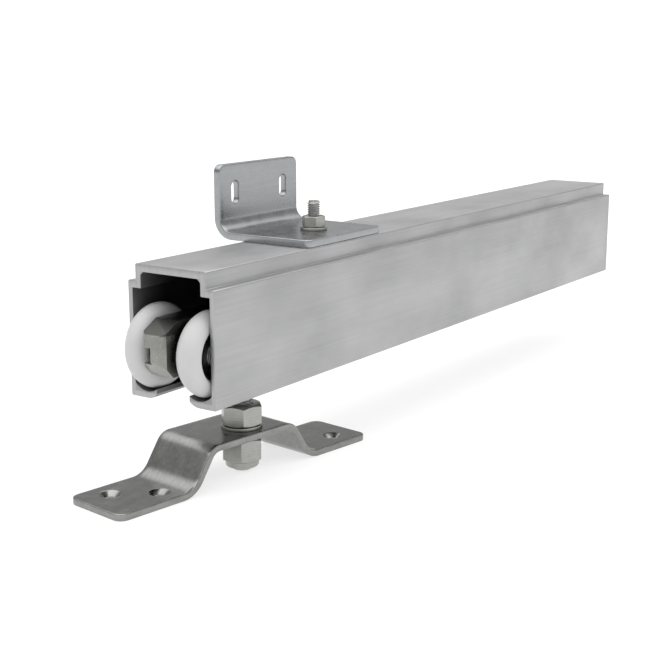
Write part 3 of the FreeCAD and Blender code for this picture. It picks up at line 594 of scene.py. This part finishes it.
class Finish:
    """One material, or the world, while its nodes are laid out."""

    def __init__(self, name, kind="materials"):
        self.block = getattr(bpy.data, kind).new(name)
        self.block.use_nodes = True
        self.tree = self.block.node_tree
        self.tree.nodes.clear()

    def node(self, kind, settings=None, inputs=None, out=0):
        """Adds a node: its settings first, then the values or links of its sockets. The result
        is one of its outputs, if it has any."""
        made = self.tree.nodes.new(kind)
        for key, value in (settings or {}).items():
            setattr(made, key, value)
        for key, value in (inputs or {}).items():
            if isinstance(value, Flow):
                self.tree.links.new(value.socket, made.inputs[key])
            else:
                made.inputs[key].default_value = value
        return Flow(self, made.outputs[out]) if made.outputs else None

    def place(self):
        """The object coordinate."""
        return self.node("ShaderNodeTexCoord", out="Object")

    def axes(self):
        """The object coordinate's x, y and z."""
        split = self.node("ShaderNodeSeparateXYZ", inputs={0: self.place()})
        outputs = split.socket.node.outputs
        return [Flow(self, outputs[number]) for number in range(3)]

    def noise(self, scale, stretch=(1, 1, 1), turn=0.0, detail=3.0, rough=0.55):
        """Noise of a scale per metre on object coordinates, drawn out where stretch is small."""
        turned_place = self.node("ShaderNodeMapping", inputs={
            "Vector": self.place(), "Rotation": (0, 0, turn)})
        place = self.node("ShaderNodeMapping", inputs={
            "Vector": turned_place, "Scale": stretch})
        return self.node("ShaderNodeTexNoise", inputs={
            "Vector": place, "Scale": scale, "Detail": detail, "Roughness": rough})

    def rings(self, scale):
        """Noise along a turned piece's profile, so that it runs round the axis."""
        along = self.node("ShaderNodeAttribute", {"attribute_name": "turning"}, out="Fac")
        return self.node("ShaderNodeTexNoise", {"noise_dimensions": "1D"}, {
            "W": along, "Scale": scale, "Detail": 3.0, "Roughness": 0.6})

    def level(self, value, low, high, to_low=0.0, to_high=1.0):
        """Maps a range to another and holds it there."""
        return self.node("ShaderNodeMapRange", inputs={
            "Value": value, "From Min": low, "From Max": high,
            "To Min": to_low, "To Max": to_high})

    def mix(self, factor, first, second, way="MIX"):
        """Mixes two colours."""
        first, second = (colour if isinstance(colour, Flow) else (*colour, 1.0)
                         for colour in (first, second))
        return self.node("ShaderNodeMix", {"data_type": "RGBA", "blend_type": way},
                         {0: factor, 6: first, 7: second}, out=2)

    def about(self, noise, amount):
        """A tone about 1 that follows a noise, and strays from 1 by amount at the most."""
        return self.level(noise, 0.3, 0.7, 1 - amount, 1 + amount)

    def toned(self, colour, tone):
        """A colour made darker or lighter by a tone that changes over the surface."""
        grey = self.node("ShaderNodeCombineColor", inputs={0: tone, 1: tone, 2: tone})
        return self.mix(1.0, colour, grey, way="MULTIPLY")

    def bump(self, height, depth, strength):
        """A normal that follows a height."""
        return self.node("ShaderNodeBump", inputs={
            "Height": height, "Distance": depth, "Strength": strength})

    def surface(self, colour, rough, height, depth, strength, metallic=1.0):
        """A shader whose bump follows a height."""
        return self.shader({"Base Color": colour, "Metallic": metallic, "Roughness": rough,
                            "Normal": self.bump(height, depth, strength)})

    def shader(self, inputs):
        """The shader at the end, with its output."""
        shader = self.node("ShaderNodeBsdfPrincipled", inputs=inputs)
        self.node("ShaderNodeOutputMaterial", inputs={"Surface": shader})
        return self.block


def shade(colour, amount):
    """A colour made darker or lighter by a factor."""
    return tuple(min(part * amount, 1.0) for part in colour)


def mill_aluminium(settings):
    """Extruded aluminium: fine lines along the track, slow bands of tone and dull smudges,
    sawn ends, and painted shade on the metal inside the channel, darkest away from the front end."""
    finish = Finish("mill_aluminium")
    low, high, middle = span("track_extrusion")
    x, y, z = finish.axes()
    lines = finish.noise(1400, (1, 0.012, 1), detail=4)
    scuffs = finish.noise(420, (1, 0.05, 1), detail=3)
    bands = finish.noise(26, (0.25, 1, 0.25), detail=2)
    smudges = finish.noise(48, (1, 0.5, 1), detail=4)
    tone = (finish.about(bands, 0.05) * finish.level(smudges, 0.3, 0.75, 1.02, 0.96)
            * finish.about(lines, 0.05))
    side = abs(x - float(middle[0]))
    near, lip_top, cut_skin, shade_reach = 0.1 * MM, 2.4 * MM, 0.12 * MM, 20 * MM
    in_walls = (side < float(high[0] - middle[0]) - settings.side_wall + near) \
        * (z < float(low[2]) + settings.shoulder - settings.shoulder_wall + near)
    in_crown = (side < settings.crown_width / 2 - settings.crown_side + near) \
        * (z < float(high[2]) - settings.crown_top + near)
    hollow = finish.level(in_walls + in_crown, 0, 1) * (z > float(low[2]) + lip_top)
    sawn = (y < float(low[1]) + cut_skin) + (y > float(high[1]) - cut_skin)
    saw_marks = finish.noise(900, (1, 1, 0.03), detail=3)
    bare = finish.toned(settings.colour, tone)
    # painted shade: inside the channel the colour falls to half at the front end and to 0.16
    # deeper in
    painted_shade_inside = finish.mix(finish.level(y, float(low[1]), float(low[1]) + shade_reach),
                       shade(settings.colour, 0.5), shade(settings.colour, 0.16))
    metal = finish.mix(hollow, bare, painted_shade_inside)
    cut = finish.mix(saw_marks, shade(settings.colour, 0.8), shade(settings.colour, 1.15))
    metal = finish.mix(sawn * 0.9, metal, cut)
    rough = finish.level(smudges, 0.3, 0.7, 0.34, 0.5) + lines * 0.08 + hollow * 0.2
    return finish.surface(metal, rough, lines * 0.6 + scuffs * 0.4, 0.035 * MM, 0.5)


def rolled_steel(name, colour, turn, rough, streak, mottle):
    """Plated sheet: rolling streaks along the sheet under a cloudy plating with fine pits."""
    finish = Finish(name)
    streaks = finish.noise(700, (1, 0.03, 1), turn=turn, detail=4)
    clouds = finish.noise(130, detail=4, rough=0.65)
    pits = finish.noise(2600, detail=2)
    metal = finish.toned(colour, finish.about(streaks, streak) * finish.about(clouds, mottle))
    duller = finish.level(clouds, 0.3, 0.75, rough, rough + 0.14) + streaks * 0.06
    return finish.surface(metal, duller, streaks * 0.6 + pits * 0.25, 0.03 * MM, 0.45)


def machined_steel(name, colour, rough, marks=2600.0):
    """Turned or ground steel: fine rings round the axis and a cloudy plating."""
    finish = Finish(name)
    rings = finish.rings(marks)
    clouds = finish.noise(260, detail=4, rough=0.6)
    metal = finish.toned(colour, finish.about(clouds, 0.12) * finish.about(rings, 0.06))
    duller = finish.level(clouds, 0.3, 0.7, rough, rough + 0.12)
    return finish.surface(metal, duller, rings, 0.02 * MM, 0.4)


def milled_bar(settings):
    """The truck's bar: milling marks along it, plating and a little grease in the clouds, and
    painted shade, a fifth of the colour, on everything above the nose's flat face."""
    finish = Finish("milled_bar")
    start = float(span("truck_body")[0][2]) + settings.nose_high
    below, above = 0.2 * MM, 0.6 * MM
    # painted shade: everything above the nose's flat face is darkened and made a little rougher
    painted_shade_above = finish.level(finish.axes()[2], start - below, start + above, 0.0, 0.9)
    lines = finish.noise(1200, (1, 0.05, 0.6), detail=3)
    grease = finish.noise(120, detail=4, rough=0.6)
    tone = finish.level(lines, 0.3, 0.7, 0.9, 1.08) * finish.level(grease, 0.35, 0.7, 1.05, 0.8)
    metal = finish.mix(painted_shade_above, finish.toned(settings.colour, tone), shade(settings.colour, 0.2))
    rough = finish.level(grease, 0.3, 0.7, 0.3, 0.2) + painted_shade_above * 0.1
    return finish.surface(metal, rough, lines, 0.03 * MM, 0.5)


def moulded_nylon(name, colour, grime=0.1):
    """Moulded nylon: a faint cloudiness, a fine skin and a trace of dirt from running."""
    finish = Finish(name)
    clouds = finish.noise(90, detail=3)
    dirt = finish.noise(340, detail=5, rough=0.65)
    skin = finish.noise(3200, detail=2)
    clean = finish.mix(finish.level(clouds, 0.3, 0.7), shade(colour, 0.97), shade(colour, 1.02))
    stained = finish.mix(finish.level(dirt, 0.52, 0.8) * grime, clean, (0.32, 0.31, 0.29))
    return finish.surface(stained, finish.level(clouds, 0.3, 0.7, 0.4, 0.52), skin,
                          0.012 * MM, 0.3, metallic=0.0)


def sintered_bronze():
    """Porous bronze with oil in its pores."""
    finish = Finish("sintered_bronze")
    pores = finish.noise(2400, detail=2)
    oil = finish.noise(150, detail=3)
    metal = finish.mix(finish.level(pores, 0.55, 0.7), (0.48, 0.29, 0.12), (0.2, 0.12, 0.06))
    return finish.surface(metal, finish.level(oil, 0.3, 0.7, 0.3, 0.5), pores,
                          0.03 * MM, 0.5)


# --- operators ---

class DOORTRACK_OT_track(bpy.types.Operator):
    """Carries the track's section along its length"""
    bl_idname = "doortrack.track"
    bl_label = "Track"

    def execute(self, context):
        s = context.scene.doortrack_track
        low, high, middle = span("track_extrusion")
        half, top = high[0] - middle[0], high[2] - low[2]
        inner, crown = half - s.side_wall, s.crown_width / 2
        crown_inner, tip = crown - s.crown_side, s.slot / 2
        ledge, roof = s.shoulder - s.shoulder_wall, top - s.crown_top
        lip_turn = math.asin((s.rail_line - tip) / s.lip_radius)
        tip_turn = math.asin((s.rail_line - tip) / s.rail_radius)
        wall_turn = math.asin((inner - s.rail_line) / s.rail_radius)
        down = -math.pi / 2
        lip = arc((s.rail_line, s.lip_radius), s.lip_radius, down - lip_turn, down, 10)
        raceway = arc((s.rail_line, s.rail_level + s.rail_radius), s.rail_radius,
                      down + wall_turn, down - tip_turn, 22)
        chamfer, sections = 1.5 * MM, 26

        def plain(points):
            """Corners without a rounding of their own."""
            return [(x, z, 0.0) for x, z in points]

        outer, soft = s.outer_round, s.inner_round
        right = plain(lip) + [(half, 0, outer), (half, s.shoulder, outer),
                              (crown, s.shoulder, soft), (crown, top, outer)]
        inside_right = [(crown_inner - chamfer, roof, soft),
                        (crown_inner, roof - chamfer, soft), (crown_inner, ledge, soft),
                        (inner, ledge, soft)] + plain(raceway)
        left = [(-x, z, r) for x, z, r in reversed(right)]
        inside_left = [(-x, z, r) for x, z, r in reversed(inside_right)]
        section = rounded(right + left + inside_left + inside_right)
        edge = edge_rows(low[1], high[1], s.saw_edge, steps=2)
        stations = np.linspace(low[1], high[1], sections)[1:-1]
        edge = np.insert(edge, 3, np.column_stack([0 * stations, stations]), axis=0)

        def place(x, z, y):
            """The section's centre line stands over the middle of the CAD node."""
            return x + middle[0], y, z + low[2]

        add_piece("track", slab([(section, edge)], place), "track_extrusion",
                  mill_aluminium(s), crease=28.0)
        return {"FINISHED"}


class DOORTRACK_OT_bracket(bpy.types.Operator):
    """Cuts the bracket's sheet and carries it round its bend"""
    bl_idname = "doortrack.bracket"
    bl_label = "Wall bracket"

    def execute(self, context):
        s = context.scene.doortrack_sheet
        low, high, middle = span("wall_bracket")
        sheet, width = s.bracket_sheet, high[1] - low[1]
        bend = s.bracket_bend + sheet / 2
        foot = high[0] - low[0] - sheet / 2 - bend
        upright = high[2] - low[2] - sheet / 2 - bend
        quarter = bend * math.pi / 2
        whole = foot + quarter + upright
        path = bent([(foot, 0), (quarter, -1 / bend), (upright, 0)],
                    (high[0], low[2] + sheet / 2), math.pi)

        def place(along, across, depth):
            """The path's place, moved by depth at right angles to its heading."""
            p, q, heading = path(along)
            return (p - depth * np.sin(heading), across + middle[1],
                    q + depth * np.cos(heading))

        outline = strip(whole, width / 2, s.bracket_corner)
        edge = edge_rows(-sheet / 2, sheet / 2, s.rim)
        stud = span("bracket_bolt")[2]
        slot_at = whole - high[2]      # the slots' middle is the frame's origin
        holes = [circle((high[0] - stud[0], 0), s.stud_hole)]
        for side in (-1, 1):
            centre = (slot_at, side * s.wall_slot_spacing / 2)
            holes.append(slot_hole(centre, s.wall_slot_length, s.wall_slot_width))
        shape = slab([(loop, edge) for loop in [outline] + holes], place, SHEET_GRID)
        zinc = rolled_steel("zinc_sheet", s.bracket_colour, 0.0, 0.2, streak=0.06, mottle=0.1)
        add_piece("bracket", shape, "wall_bracket", zinc)
        return {"FINISHED"}


class DOORTRACK_OT_plate(bpy.types.Operator):
    """Cuts the door plate and carries it round its four bends"""
    bl_idname = "doortrack.plate"
    bl_label = "Door plate"

    def execute(self, context):
        s = context.scene.doortrack_sheet
        pendant = span("pendant_bolt")[2]
        top = span("door_plate")[1][2]
        sheet, half = s.plate_sheet, s.plate_length / 2
        slope, sine = s.plate_slope, math.sin(s.plate_slope)
        shift = sheet / 2 * math.tan(slope / 2)
        high_bend, low_bend = s.plate_bend_high + sheet / 2, s.plate_bend_low + sheet / 2
        high_set, low_set = high_bend * math.tan(slope / 2), low_bend * math.tan(slope / 2)
        crest = s.plate_middle / 2 - shift
        toe = crest + s.plate_drop / math.tan(slope)
        foot = half - toe - low_set
        ramp = s.plate_drop / sine - high_set - low_set
        arm = [(foot, 0), (low_bend * slope, 1 / low_bend), (ramp, 0),
               (high_bend * slope, -1 / high_bend)]
        runs = arm + [(2 * (crest - high_set), 0)] + arm[::-1]
        whole = sum(run for run, _ in runs)
        path = bent(runs, (s.plate_offset - half, -s.plate_drop - sheet / 2), 0.0)
        cos, sin = math.cos(s.plate_turn), math.sin(s.plate_turn)

        def place(along, across, depth):
            """The path's place, moved by depth at right angles to its heading, and turned
            about the pendant."""
            p, q, heading = path(along)
            x = across + s.plate_side
            y, z = p - depth * np.sin(heading), q + depth * np.cos(heading)
            return pendant[0] + x * cos - y * sin, pendant[1] + x * sin + y * cos, top + z

        outline = strip(whole, s.plate_width / 2, s.plate_corner)
        plain = edge_rows(-sheet / 2, sheet / 2, s.rim)
        sunk = sunk_rows(-sheet / 2, sheet / 2, s.rim, s.screw_sink)
        sunk = np.column_stack([sunk[::-1, 0], -sunk[::-1, 1]])
        pendant_hole = circle((whole / 2 - s.plate_offset, -s.plate_side), s.plate_hole)
        rims = [(outline, plain), (pendant_hole, plain)]
        for along, across in (s.inner_screw, s.outer_screw):
            for facing in (-1, 1):
                at = whole / 2 + facing * (whole / 2 - half + along)
                rims.append((circle((at, -facing * across), s.screw_hole), sunk))
        shape = slab(rims, place, SHEET_GRID)
        steel = rolled_steel("plate_steel", s.plate_colour, s.plate_turn, 0.13,
                             streak=0.1, mottle=0.1)
        add_piece("door_plate_sheet", shape, "door_plate", steel)
        return {"FINISHED"}


def washer(name, node, material, axis="z"):
    """A ring the size of a CAD node, with rounded edges and its bore from BORES."""
    low, high, _ = span(node)
    edge = bpy.context.scene.doortrack_truck.ring_edge
    up = 2 if axis == "z" else 0
    outside = (high[1] - low[1]) / 2
    bore = BORES[node.split("_front")[0].split("_rear")[0]]
    corners = [(bore, low[up], edge), (outside, low[up], edge), (outside, high[up], edge),
               (bore, high[up], edge)]
    lathe(name, node, material, rounded(corners, 3), axis)


def race(name, node, wheel, material, inner):
    """A bearing ring with its ball groove, an arc about the ball circle."""
    low, high, middle = span(node)
    land = wheel.inner_land if inner else wheel.land
    far = BORES["spacer"] if inner else wheel.seat
    half_turn = math.acos(abs(wheel.ball_circle - land) / wheel.groove)
    towards = math.pi if inner else 0.0
    groove = arc((wheel.ball_circle, middle[0]), wheel.groove, towards - half_turn,
                 towards + half_turn, 10)
    edge = 0.3 * MM
    first, last = (high[0], low[0]) if inner else (low[0], high[0])
    corners = [(far, first, edge), (land, first, edge)]
    corners += [(radius, height, 0.0) for radius, height in groove]
    corners += [(land, last, edge), (far, last, edge)]
    lathe(name, node, material, rounded(corners, 3))


class DOORTRACK_OT_truck(bpy.types.Operator):
    """Finishes the truck's bar and turns its axles, rings and bush"""
    bl_idname = "doortrack.truck"
    bl_label = "Truck"

    def execute(self, context):
        s = context.scene.doortrack_truck
        wheel = context.scene.doortrack_wheel
        self.bar(s)
        steel = machined_steel("turned_steel", (0.3, 0.3, 0.3), 0.28)
        ground = machined_steel("ground_steel", (0.42, 0.42, 0.43), 0.18, marks=3600)
        for end in ENDS:
            self.axle(end, steel)
            for side in SIDES:
                corner = f"{end}_{side}"
                washer(f"spacer_tube_{corner}", f"spacer_{corner}", steel, "x")
                washer(f"axle_end_ring_{corner}", f"axle_ring_{corner}", steel,
                       "x")
                race(f"inner_race_{corner}", f"bearing_inner_{corner}", wheel, ground,
                     inner=True)
        self.bush(s)
        return {"FINISHED"}

    def bar(self, s):
        """The bar is the CAD node's own mesh, merged, with its edges broken by a bevel."""
        mesh = frame["nodes"]["truck_body"].data.copy()
        mesh.materials.clear()
        piece = add_mesh("truck_bar", mesh, "truck_body", milled_bar(s))
        bevel = piece.modifiers.new("edges", "BEVEL")
        bevel.width = s.edge
        bevel.segments = 3
        bevel.limit_method = "ANGLE"
        bevel.angle_limit = math.radians(28)
        bevel.use_clamp_overlap = True
        bevel.harden_normals = True

    def axle(self, end, steel):
        """A pin with chamfered ends and a centre mark, a small cone, in each."""
        low, high, _ = span(f"axle_{end}")
        radius = (high[2] - low[2]) / 2
        point, mark = 0.8 * MM, 0.9 * MM
        mark_edge, point_edge, shaft_edge = 0.1 * MM, 0.15 * MM, 0.2 * MM
        corners = [(0.0, low[0] + mark, 0.0), (mark, low[0], mark_edge),
                   (radius - point, low[0], point_edge), (radius, low[0] + point, shaft_edge),
                   (radius, high[0] - point, shaft_edge), (radius - point, high[0], point_edge),
                   (mark, high[0], mark_edge), (0.0, high[0] - mark, 0.0)]
        lathe(f"axle_pin_{end}", f"axle_{end}", steel, rounded(corners, 3))

    def bush(self, s):
        """The flanged bush, with its flange on the bar."""
        low, high, _ = span("pendant_bush")
        flange, bore = (high[0] - low[0]) / 2, 5.05 * MM
        sleeve, sheet, edge = 6.5 * MM, 1.5 * MM, s.ring_edge
        corners = [(bore, low[2], edge), (sleeve, low[2], edge), (sleeve, high[2] - sheet, 0),
                   (flange, high[2] - sheet, edge), (flange, high[2], edge),
                   (bore, high[2], edge)]
        lathe("bush", "pendant_bush", sintered_bronze(), rounded(corners, 3),
              axis="z")


class DOORTRACK_OT_wheels(bpy.types.Operator):
    """Turns the four wheels with their bearings"""
    bl_idname = "doortrack.wheels"
    bl_label = "Wheels"

    def execute(self, context):
        s = context.scene.doortrack_wheel
        nylon = moulded_nylon("white_nylon", tuple(s.colour))
        ground = machined_steel("bearing_ring_steel", (0.42, 0.42, 0.43), 0.18, marks=3600)
        pressed = machined_steel("shield_steel", (0.2, 0.2, 0.21), 0.3)
        for corner in CORNERS:
            self.tyre(f"tyre_{corner}", s, nylon)
            race(f"outer_race_{corner}", f"bearing_outer_{corner}", s, ground, inner=False)
            keep_node(f"bearing_balls_{corner}", ground)
            for face in ("inward", "outward"):
                self.shield(f"{corner}_{face}", pressed)
        return {"FINISHED"}

    def tyre(self, node, s, nylon):
        """A tread that is an arc of the crown radius, with a fine parting line, a bell curve,
        at its middle, flat faces and a stepped recess for the bearing."""
        low, high, middle = span(node)
        outside, half = (high[2] - low[2]) / 2, (high[0] - low[0]) / 2
        centre_radius = outside - s.crown
        seat, lip, line_width = 3.5 * MM, 0.5 * MM, 0.22 * MM
        seat_edge, recess_edge = 0.1 * MM, 0.15 * MM
        side_angle = math.asin(half / s.crown)
        turn = np.linspace(side_angle, -side_angle, 41)
        line = s.parting_line * np.exp(-(turn * s.crown / line_width) ** 2)
        radius = s.crown - s.parting_line + line
        tread = np.column_stack([centre_radius + radius * np.cos(turn),
                                 middle[0] + radius * np.sin(turn)])
        corners = [(s.seat, middle[0] - seat, seat_edge), (s.seat, middle[0] + seat, seat_edge),
                   (s.recess, middle[0] + seat, recess_edge), (s.recess, high[0], lip)]
        corners += [(r, h, 0.0) for r, h in tread]
        corners += [(s.recess, low[0], lip), (s.recess, middle[0] - seat, recess_edge)]
        lathe(f"wheel_{node}", node, nylon, rounded(corners, 4), crease=40.0)

    def shield(self, place, material):
        """A thin shield with a pressed step half way across it, a hyperbolic tangent."""
        node = f"bearing_shield_{place}"
        low, high, _ = span(node)
        outside = (high[2] - low[2]) / 2
        bore = BORES["bearing_shield"]
        sheet, press, press_width = 0.22 * MM, 0.16 * MM, 0.18 * MM
        across = np.linspace(bore, outside, 24)
        step = 0.5 - 0.5 * np.tanh((across - (bore + outside) / 2) / press_width)
        base, way = (high[0], -1)
        if place.endswith(("right_outward", "left_inward")):
            base, way = (low[0], 1)
        under = base + way * press * step
        over = under + way * sheet
        profile = np.concatenate([np.column_stack([across, under]),
                                  np.column_stack([across, over])[::-1]])
        lathe(f"shield_{place}", node, material, profile)


def hex_bevel(flats):
    """The bevel's outside radius, inside radius and drop on a hexagon."""
    wide, inner = flats * BEVEL_OUTSIDE, flats * BEVEL_INSIDE
    return wide, inner, (wide - inner) * BEVEL_DROP


def bolt(name, node, material, shank_sizes, pitch, head_sizes, up):
    """A hexagon bolt with its head at the top where up is 1 and at the bottom where it is -1,
    and a thread from its point. head_sizes: height, across flats and the corner's angle."""
    shank, thread, point = shank_sizes
    head, flats, corner = head_sizes
    low, high, middle = span(node)
    head_end, tip = (high[2], low[2]) if up > 0 else (low[2], high[2])
    neck = head_end - up * head
    wide, inner, drop = hex_bevel(flats)
    under, middle_flat, lift = inner * 0.98, inner * 0.6, 0.05 * MM
    profile = [(0.0, tip), (shank - point, tip), (shank, tip + up * point)]
    rows = np.arange(point + pitch / THREAD_ROWS, thread, pitch / THREAD_ROWS)
    profile += [(shank, tip + up * row) for row in rows]
    profile += [(shank, neck), (under, neck), (wide, neck + up * lift)]
    profile += [(wide - (wide - inner) * part, head_end - up * drop * (1 - part))
                for part in np.linspace(0, 1, 9)]
    profile += [(middle_flat, head_end), (0.0, head_end)]
    ends = sorted((tip, tip + up * thread))
    cut_hex = hexed(flats, corner)
    # measured from the tip, so that the thread fades where it ends in the shank
    cut_thread = threaded(shank, pitch, 0.0, thread)

    def shape(radius, height, around):
        """The thread on its part of the shank, then the hexagon."""
        on_thread = (height >= ends[0] - TINY) & (height <= ends[1] + TINY)
        cut = cut_thread(radius, up * (height - tip), up * around)
        return cut_hex(np.where(on_thread, cut, radius), height, around)

    made = turned(np.array(profile), hex_angles(corner, 12), (middle[0], middle[1], 0), "z",
                  shape)
    add_piece(name, made, node, material, crease=HEX_CREASE)


def nut(name, node, material, flats, corner, bore, collar=None):
    """A hexagon nut: a turned shape with bevelled faces and a bevelled bore, cut by a hexagon.
    collar: hexagon's height, collar's radius and wall, for a self-locking nut whose collar
    hangs below its hexagon."""
    low, high, middle = span(node)
    wide, inner, drop = hex_bevel(flats)
    hex_low = high[2] - collar[0] if collar else low[2]
    down = np.linspace(0, 1, 12)
    upper = [(inner + (wide - inner) * part, high[2] - drop * part) for part in down]
    lower = [(wide - (wide - inner) * part, hex_low + drop * (1 - part)) for part in down]
    sink = 0.5 * MM
    profile = [(bore, high[2] - sink), (bore + sink, high[2])] + upper + lower
    if collar:
        _, radius, wall = collar
        crimp = radius - wall
        rolled, fillet, lip, lip_sheet, pocket = 1.1 * MM, 0.25 * MM, 0.4 * MM, 0.35 * MM, 2.0 * MM
        bend = arc((radius - rolled, low[2] + rolled), rolled, 0, -math.pi / 2, 6)
        profile += [(radius + fillet, hex_low), (radius, hex_low - fillet)]
        profile += bend.tolist()
        profile += [(crimp - lip, low[2]), (crimp - lip, low[2] + lip_sheet),
                    (crimp, low[2] + sink), (crimp, low[2] + pocket), (bore, low[2] + pocket)]
    else:
        profile += [(bore + sink, low[2]), (bore, low[2] + sink)]
    shape = turned(np.array(profile), hex_angles(corner), (middle[0], middle[1], 0), "z",
                   hexed(flats, corner))
    add_piece(name, shape, node, material, crease=HEX_CREASE)


class DOORTRACK_OT_fastenings(bpy.types.Operator):
    """Turns and cuts the bolts, nuts, washers and the locking ring"""
    bl_idname = "doortrack.fastenings"
    bl_label = "Bolts and nuts"

    def execute(self, context):
        s = context.scene.doortrack_fastening
        zinc = machined_steel("zinc_nut", tuple(s.colour), 0.27, marks=1500)
        plated = machined_steel("zinc_bolt", tuple(s.bolt_colour), 0.3, marks=1500)
        locking = moulded_nylon("locking_nylon", (0.62, 0.6, 0.5), grime=0.2)
        bore, small_bore = 5.05 * MM, 3.0 * MM
        bolt("pendant_screw", "pendant_bolt", plated, PENDANT_SHANK, s.bolt_pitch,
             (s.bolt_head, s.bolt_flats, s.nut_turn), up=1)
        bolt("bracket_screw", "bracket_bolt", plated, BRACKET_SHANK, s.stud_pitch,
             (s.stud_head, s.stud_flats, 0.0), up=-1)
        nut("bracket_hex_nut", "bracket_nut", zinc, s.stud_flats, s.stud_turn, small_bore)
        nut("upper_hex_nut", "upper_nut", zinc, s.nut_flats, s.upper_turn, bore)
        nut("lower_lock_nut", "lower_nut", zinc, s.nut_flats, s.nut_turn, bore,
            (s.lock_hex, s.lock_collar, s.lock_wall))
        for node, slot, metal in (("bracket_washer", "nut_zinc", zinc),
                                  ("upper_washer", "nut_zinc", zinc),
                                  ("lower_washer", "nut_zinc", zinc),
                                  ("thrust_washer", "bearing_steel", plated),
                                  ("locking_ring", "locking_nylon", locking)):
            washer(f"{node}_ring", node, metal)
        return {"FINISHED"}


class DOORTRACK_OT_stage(bpy.types.Operator):
    """Sets the camera, the pale floor and the soft studio light"""
    bl_idname = "doortrack.stage"
    bl_label = "Stage"

    def execute(self, context):
        s = context.scene.doortrack_stage
        scene = context.scene
        scene.view_settings.view_transform = "Standard"
        camera = bpy.data.cameras.new("camera")
        camera.sensor_width = 36.0
        camera.lens = s.lens
        camera.clip_start = 0.01
        eye = bpy.data.objects.new("camera", camera)
        eye.location = s.eye
        eye.rotation_euler = (math.pi / 2 - s.tilt, 0, s.azimuth)
        scene.collection.objects.link(eye)
        scene.camera = eye
        self.floor(s)
        self.dome(scene)
        return {"FINISHED"}

    def floor(self, s):
        """A flat disc of rings whose radii grow by a constant factor."""
        nearest, farthest, rings, columns = 0.05, 40.0, 24, 48
        radius = np.concatenate([[0.0], np.geomspace(nearest, farthest, rings)])[:, None]
        angles = even_angles(columns)
        level = np.full((len(radius), columns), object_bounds()[0][2])
        coords = np.stack([radius * np.cos(angles), radius * np.sin(angles), level], -1)
        faces = grid_faces(len(radius), columns)[:, ::-1]
        mesh = bpy.data.meshes.new("floor")
        mesh.from_pydata(coords.reshape(-1, 3).tolist(), [], faces.tolist())
        finish = Finish("pale_floor")
        speck = finish.noise(60, detail=3)
        pale = finish.mix(speck, shade(s.floor, 0.985), shade(s.floor, 1.015))
        mesh.materials.append(finish.shader({
            "Base Color": pale, "Roughness": 0.9, "Emission Color": (1.0, 1.0, 1.0, 1.0),
            "Emission Strength": 0.7, "Specular IOR Level": 0.0}))
        floor = bpy.data.objects.new("floor", mesh)
        bpy.context.scene.collection.objects.link(floor)
        floor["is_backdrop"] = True

    def dome(self, scene):
        """Light from all round: a pale horizon, a dim band above it and a broad soft light
        overhead, by the height of the direction."""
        sky = Finish("studio", "worlds")
        scene.world = sky.block
        place = sky.node("ShaderNodeTexCoord", out="Generated")
        height = sky.node("ShaderNodeSeparateXYZ", inputs={0: place}, out="Z")
        ramp = sky.node("ShaderNodeValToRGB", inputs={0: height})
        stops = (0.0, 0.035, 0.13, 0.5, 0.72, 1.0)
        lights = (1.05, 1.05, 0.42, 0.5, 1.9, 2.3)
        strongest = max(lights)
        band = ramp.socket.node.color_ramp
        band.interpolation = "EASE"
        while len(band.elements) < len(stops):
            band.elements.new(0.5)
        for point, at, light in zip(band.elements, stops, lights):
            point.position = at
            point.color = (light / strongest,) * 3 + (1.0,)
        light = sky.node("ShaderNodeBackground", inputs={"Color": ramp, "Strength": strongest})
        sky.node("ShaderNodeOutputWorld", inputs={"Surface": light})


GROUPS = {
    "doortrack_track": TrackSizes,
    "doortrack_sheet": SheetSizes,
    "doortrack_wheel": WheelSizes,
    "doortrack_truck": TruckSizes,
    "doortrack_fastening": FasteningSizes,
    "doortrack_stage": StageSizes,
}
OPERATORS = (DOORTRACK_OT_track, DOORTRACK_OT_bracket, DOORTRACK_OT_plate, DOORTRACK_OT_truck,
             DOORTRACK_OT_wheels, DOORTRACK_OT_fastenings, DOORTRACK_OT_stage)


class DOORTRACK_PT_panel(bpy.types.Panel):
    """Lists the pieces and the stage"""
    bl_idname = "DOORTRACK_PT_panel"
    bl_label = "Door Track"
    bl_space_type = "VIEW_3D"
    bl_region_type = "UI"
    bl_category = "Door Track"

    def draw(self, context):
        """One button for each operator."""
        for operator in OPERATORS:
            self.layout.operator(operator.bl_idname)


def register():
    """Registers the property groups, the operators and the panel."""
    for group in GROUPS.values():
        bpy.utils.register_class(group)
    for operator in OPERATORS:
        bpy.utils.register_class(operator)
    bpy.utils.register_class(DOORTRACK_PT_panel)
    for name, group in GROUPS.items():
        setattr(bpy.types.Scene, name, PointerProperty(type=group))


def unregister():
    """Takes away what register added."""
    for name in GROUPS:
        delattr(bpy.types.Scene, name)
    bpy.utils.unregister_class(DOORTRACK_PT_panel)
    for operator in reversed(OPERATORS):
        bpy.utils.unregister_class(operator)
    for group in reversed(GROUPS.values()):
        bpy.utils.unregister_class(group)


def main():
    """Builds every piece round the frame."""
    register()
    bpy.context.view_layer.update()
    bpy.ops.doortrack.track()
    bpy.ops.doortrack.bracket()
    bpy.ops.doortrack.plate()
    bpy.ops.doortrack.truck()
    bpy.ops.doortrack.wheels()
    bpy.ops.doortrack.fastenings()
    bpy.ops.doortrack.stage()


if __name__ == "__main__":
    main()
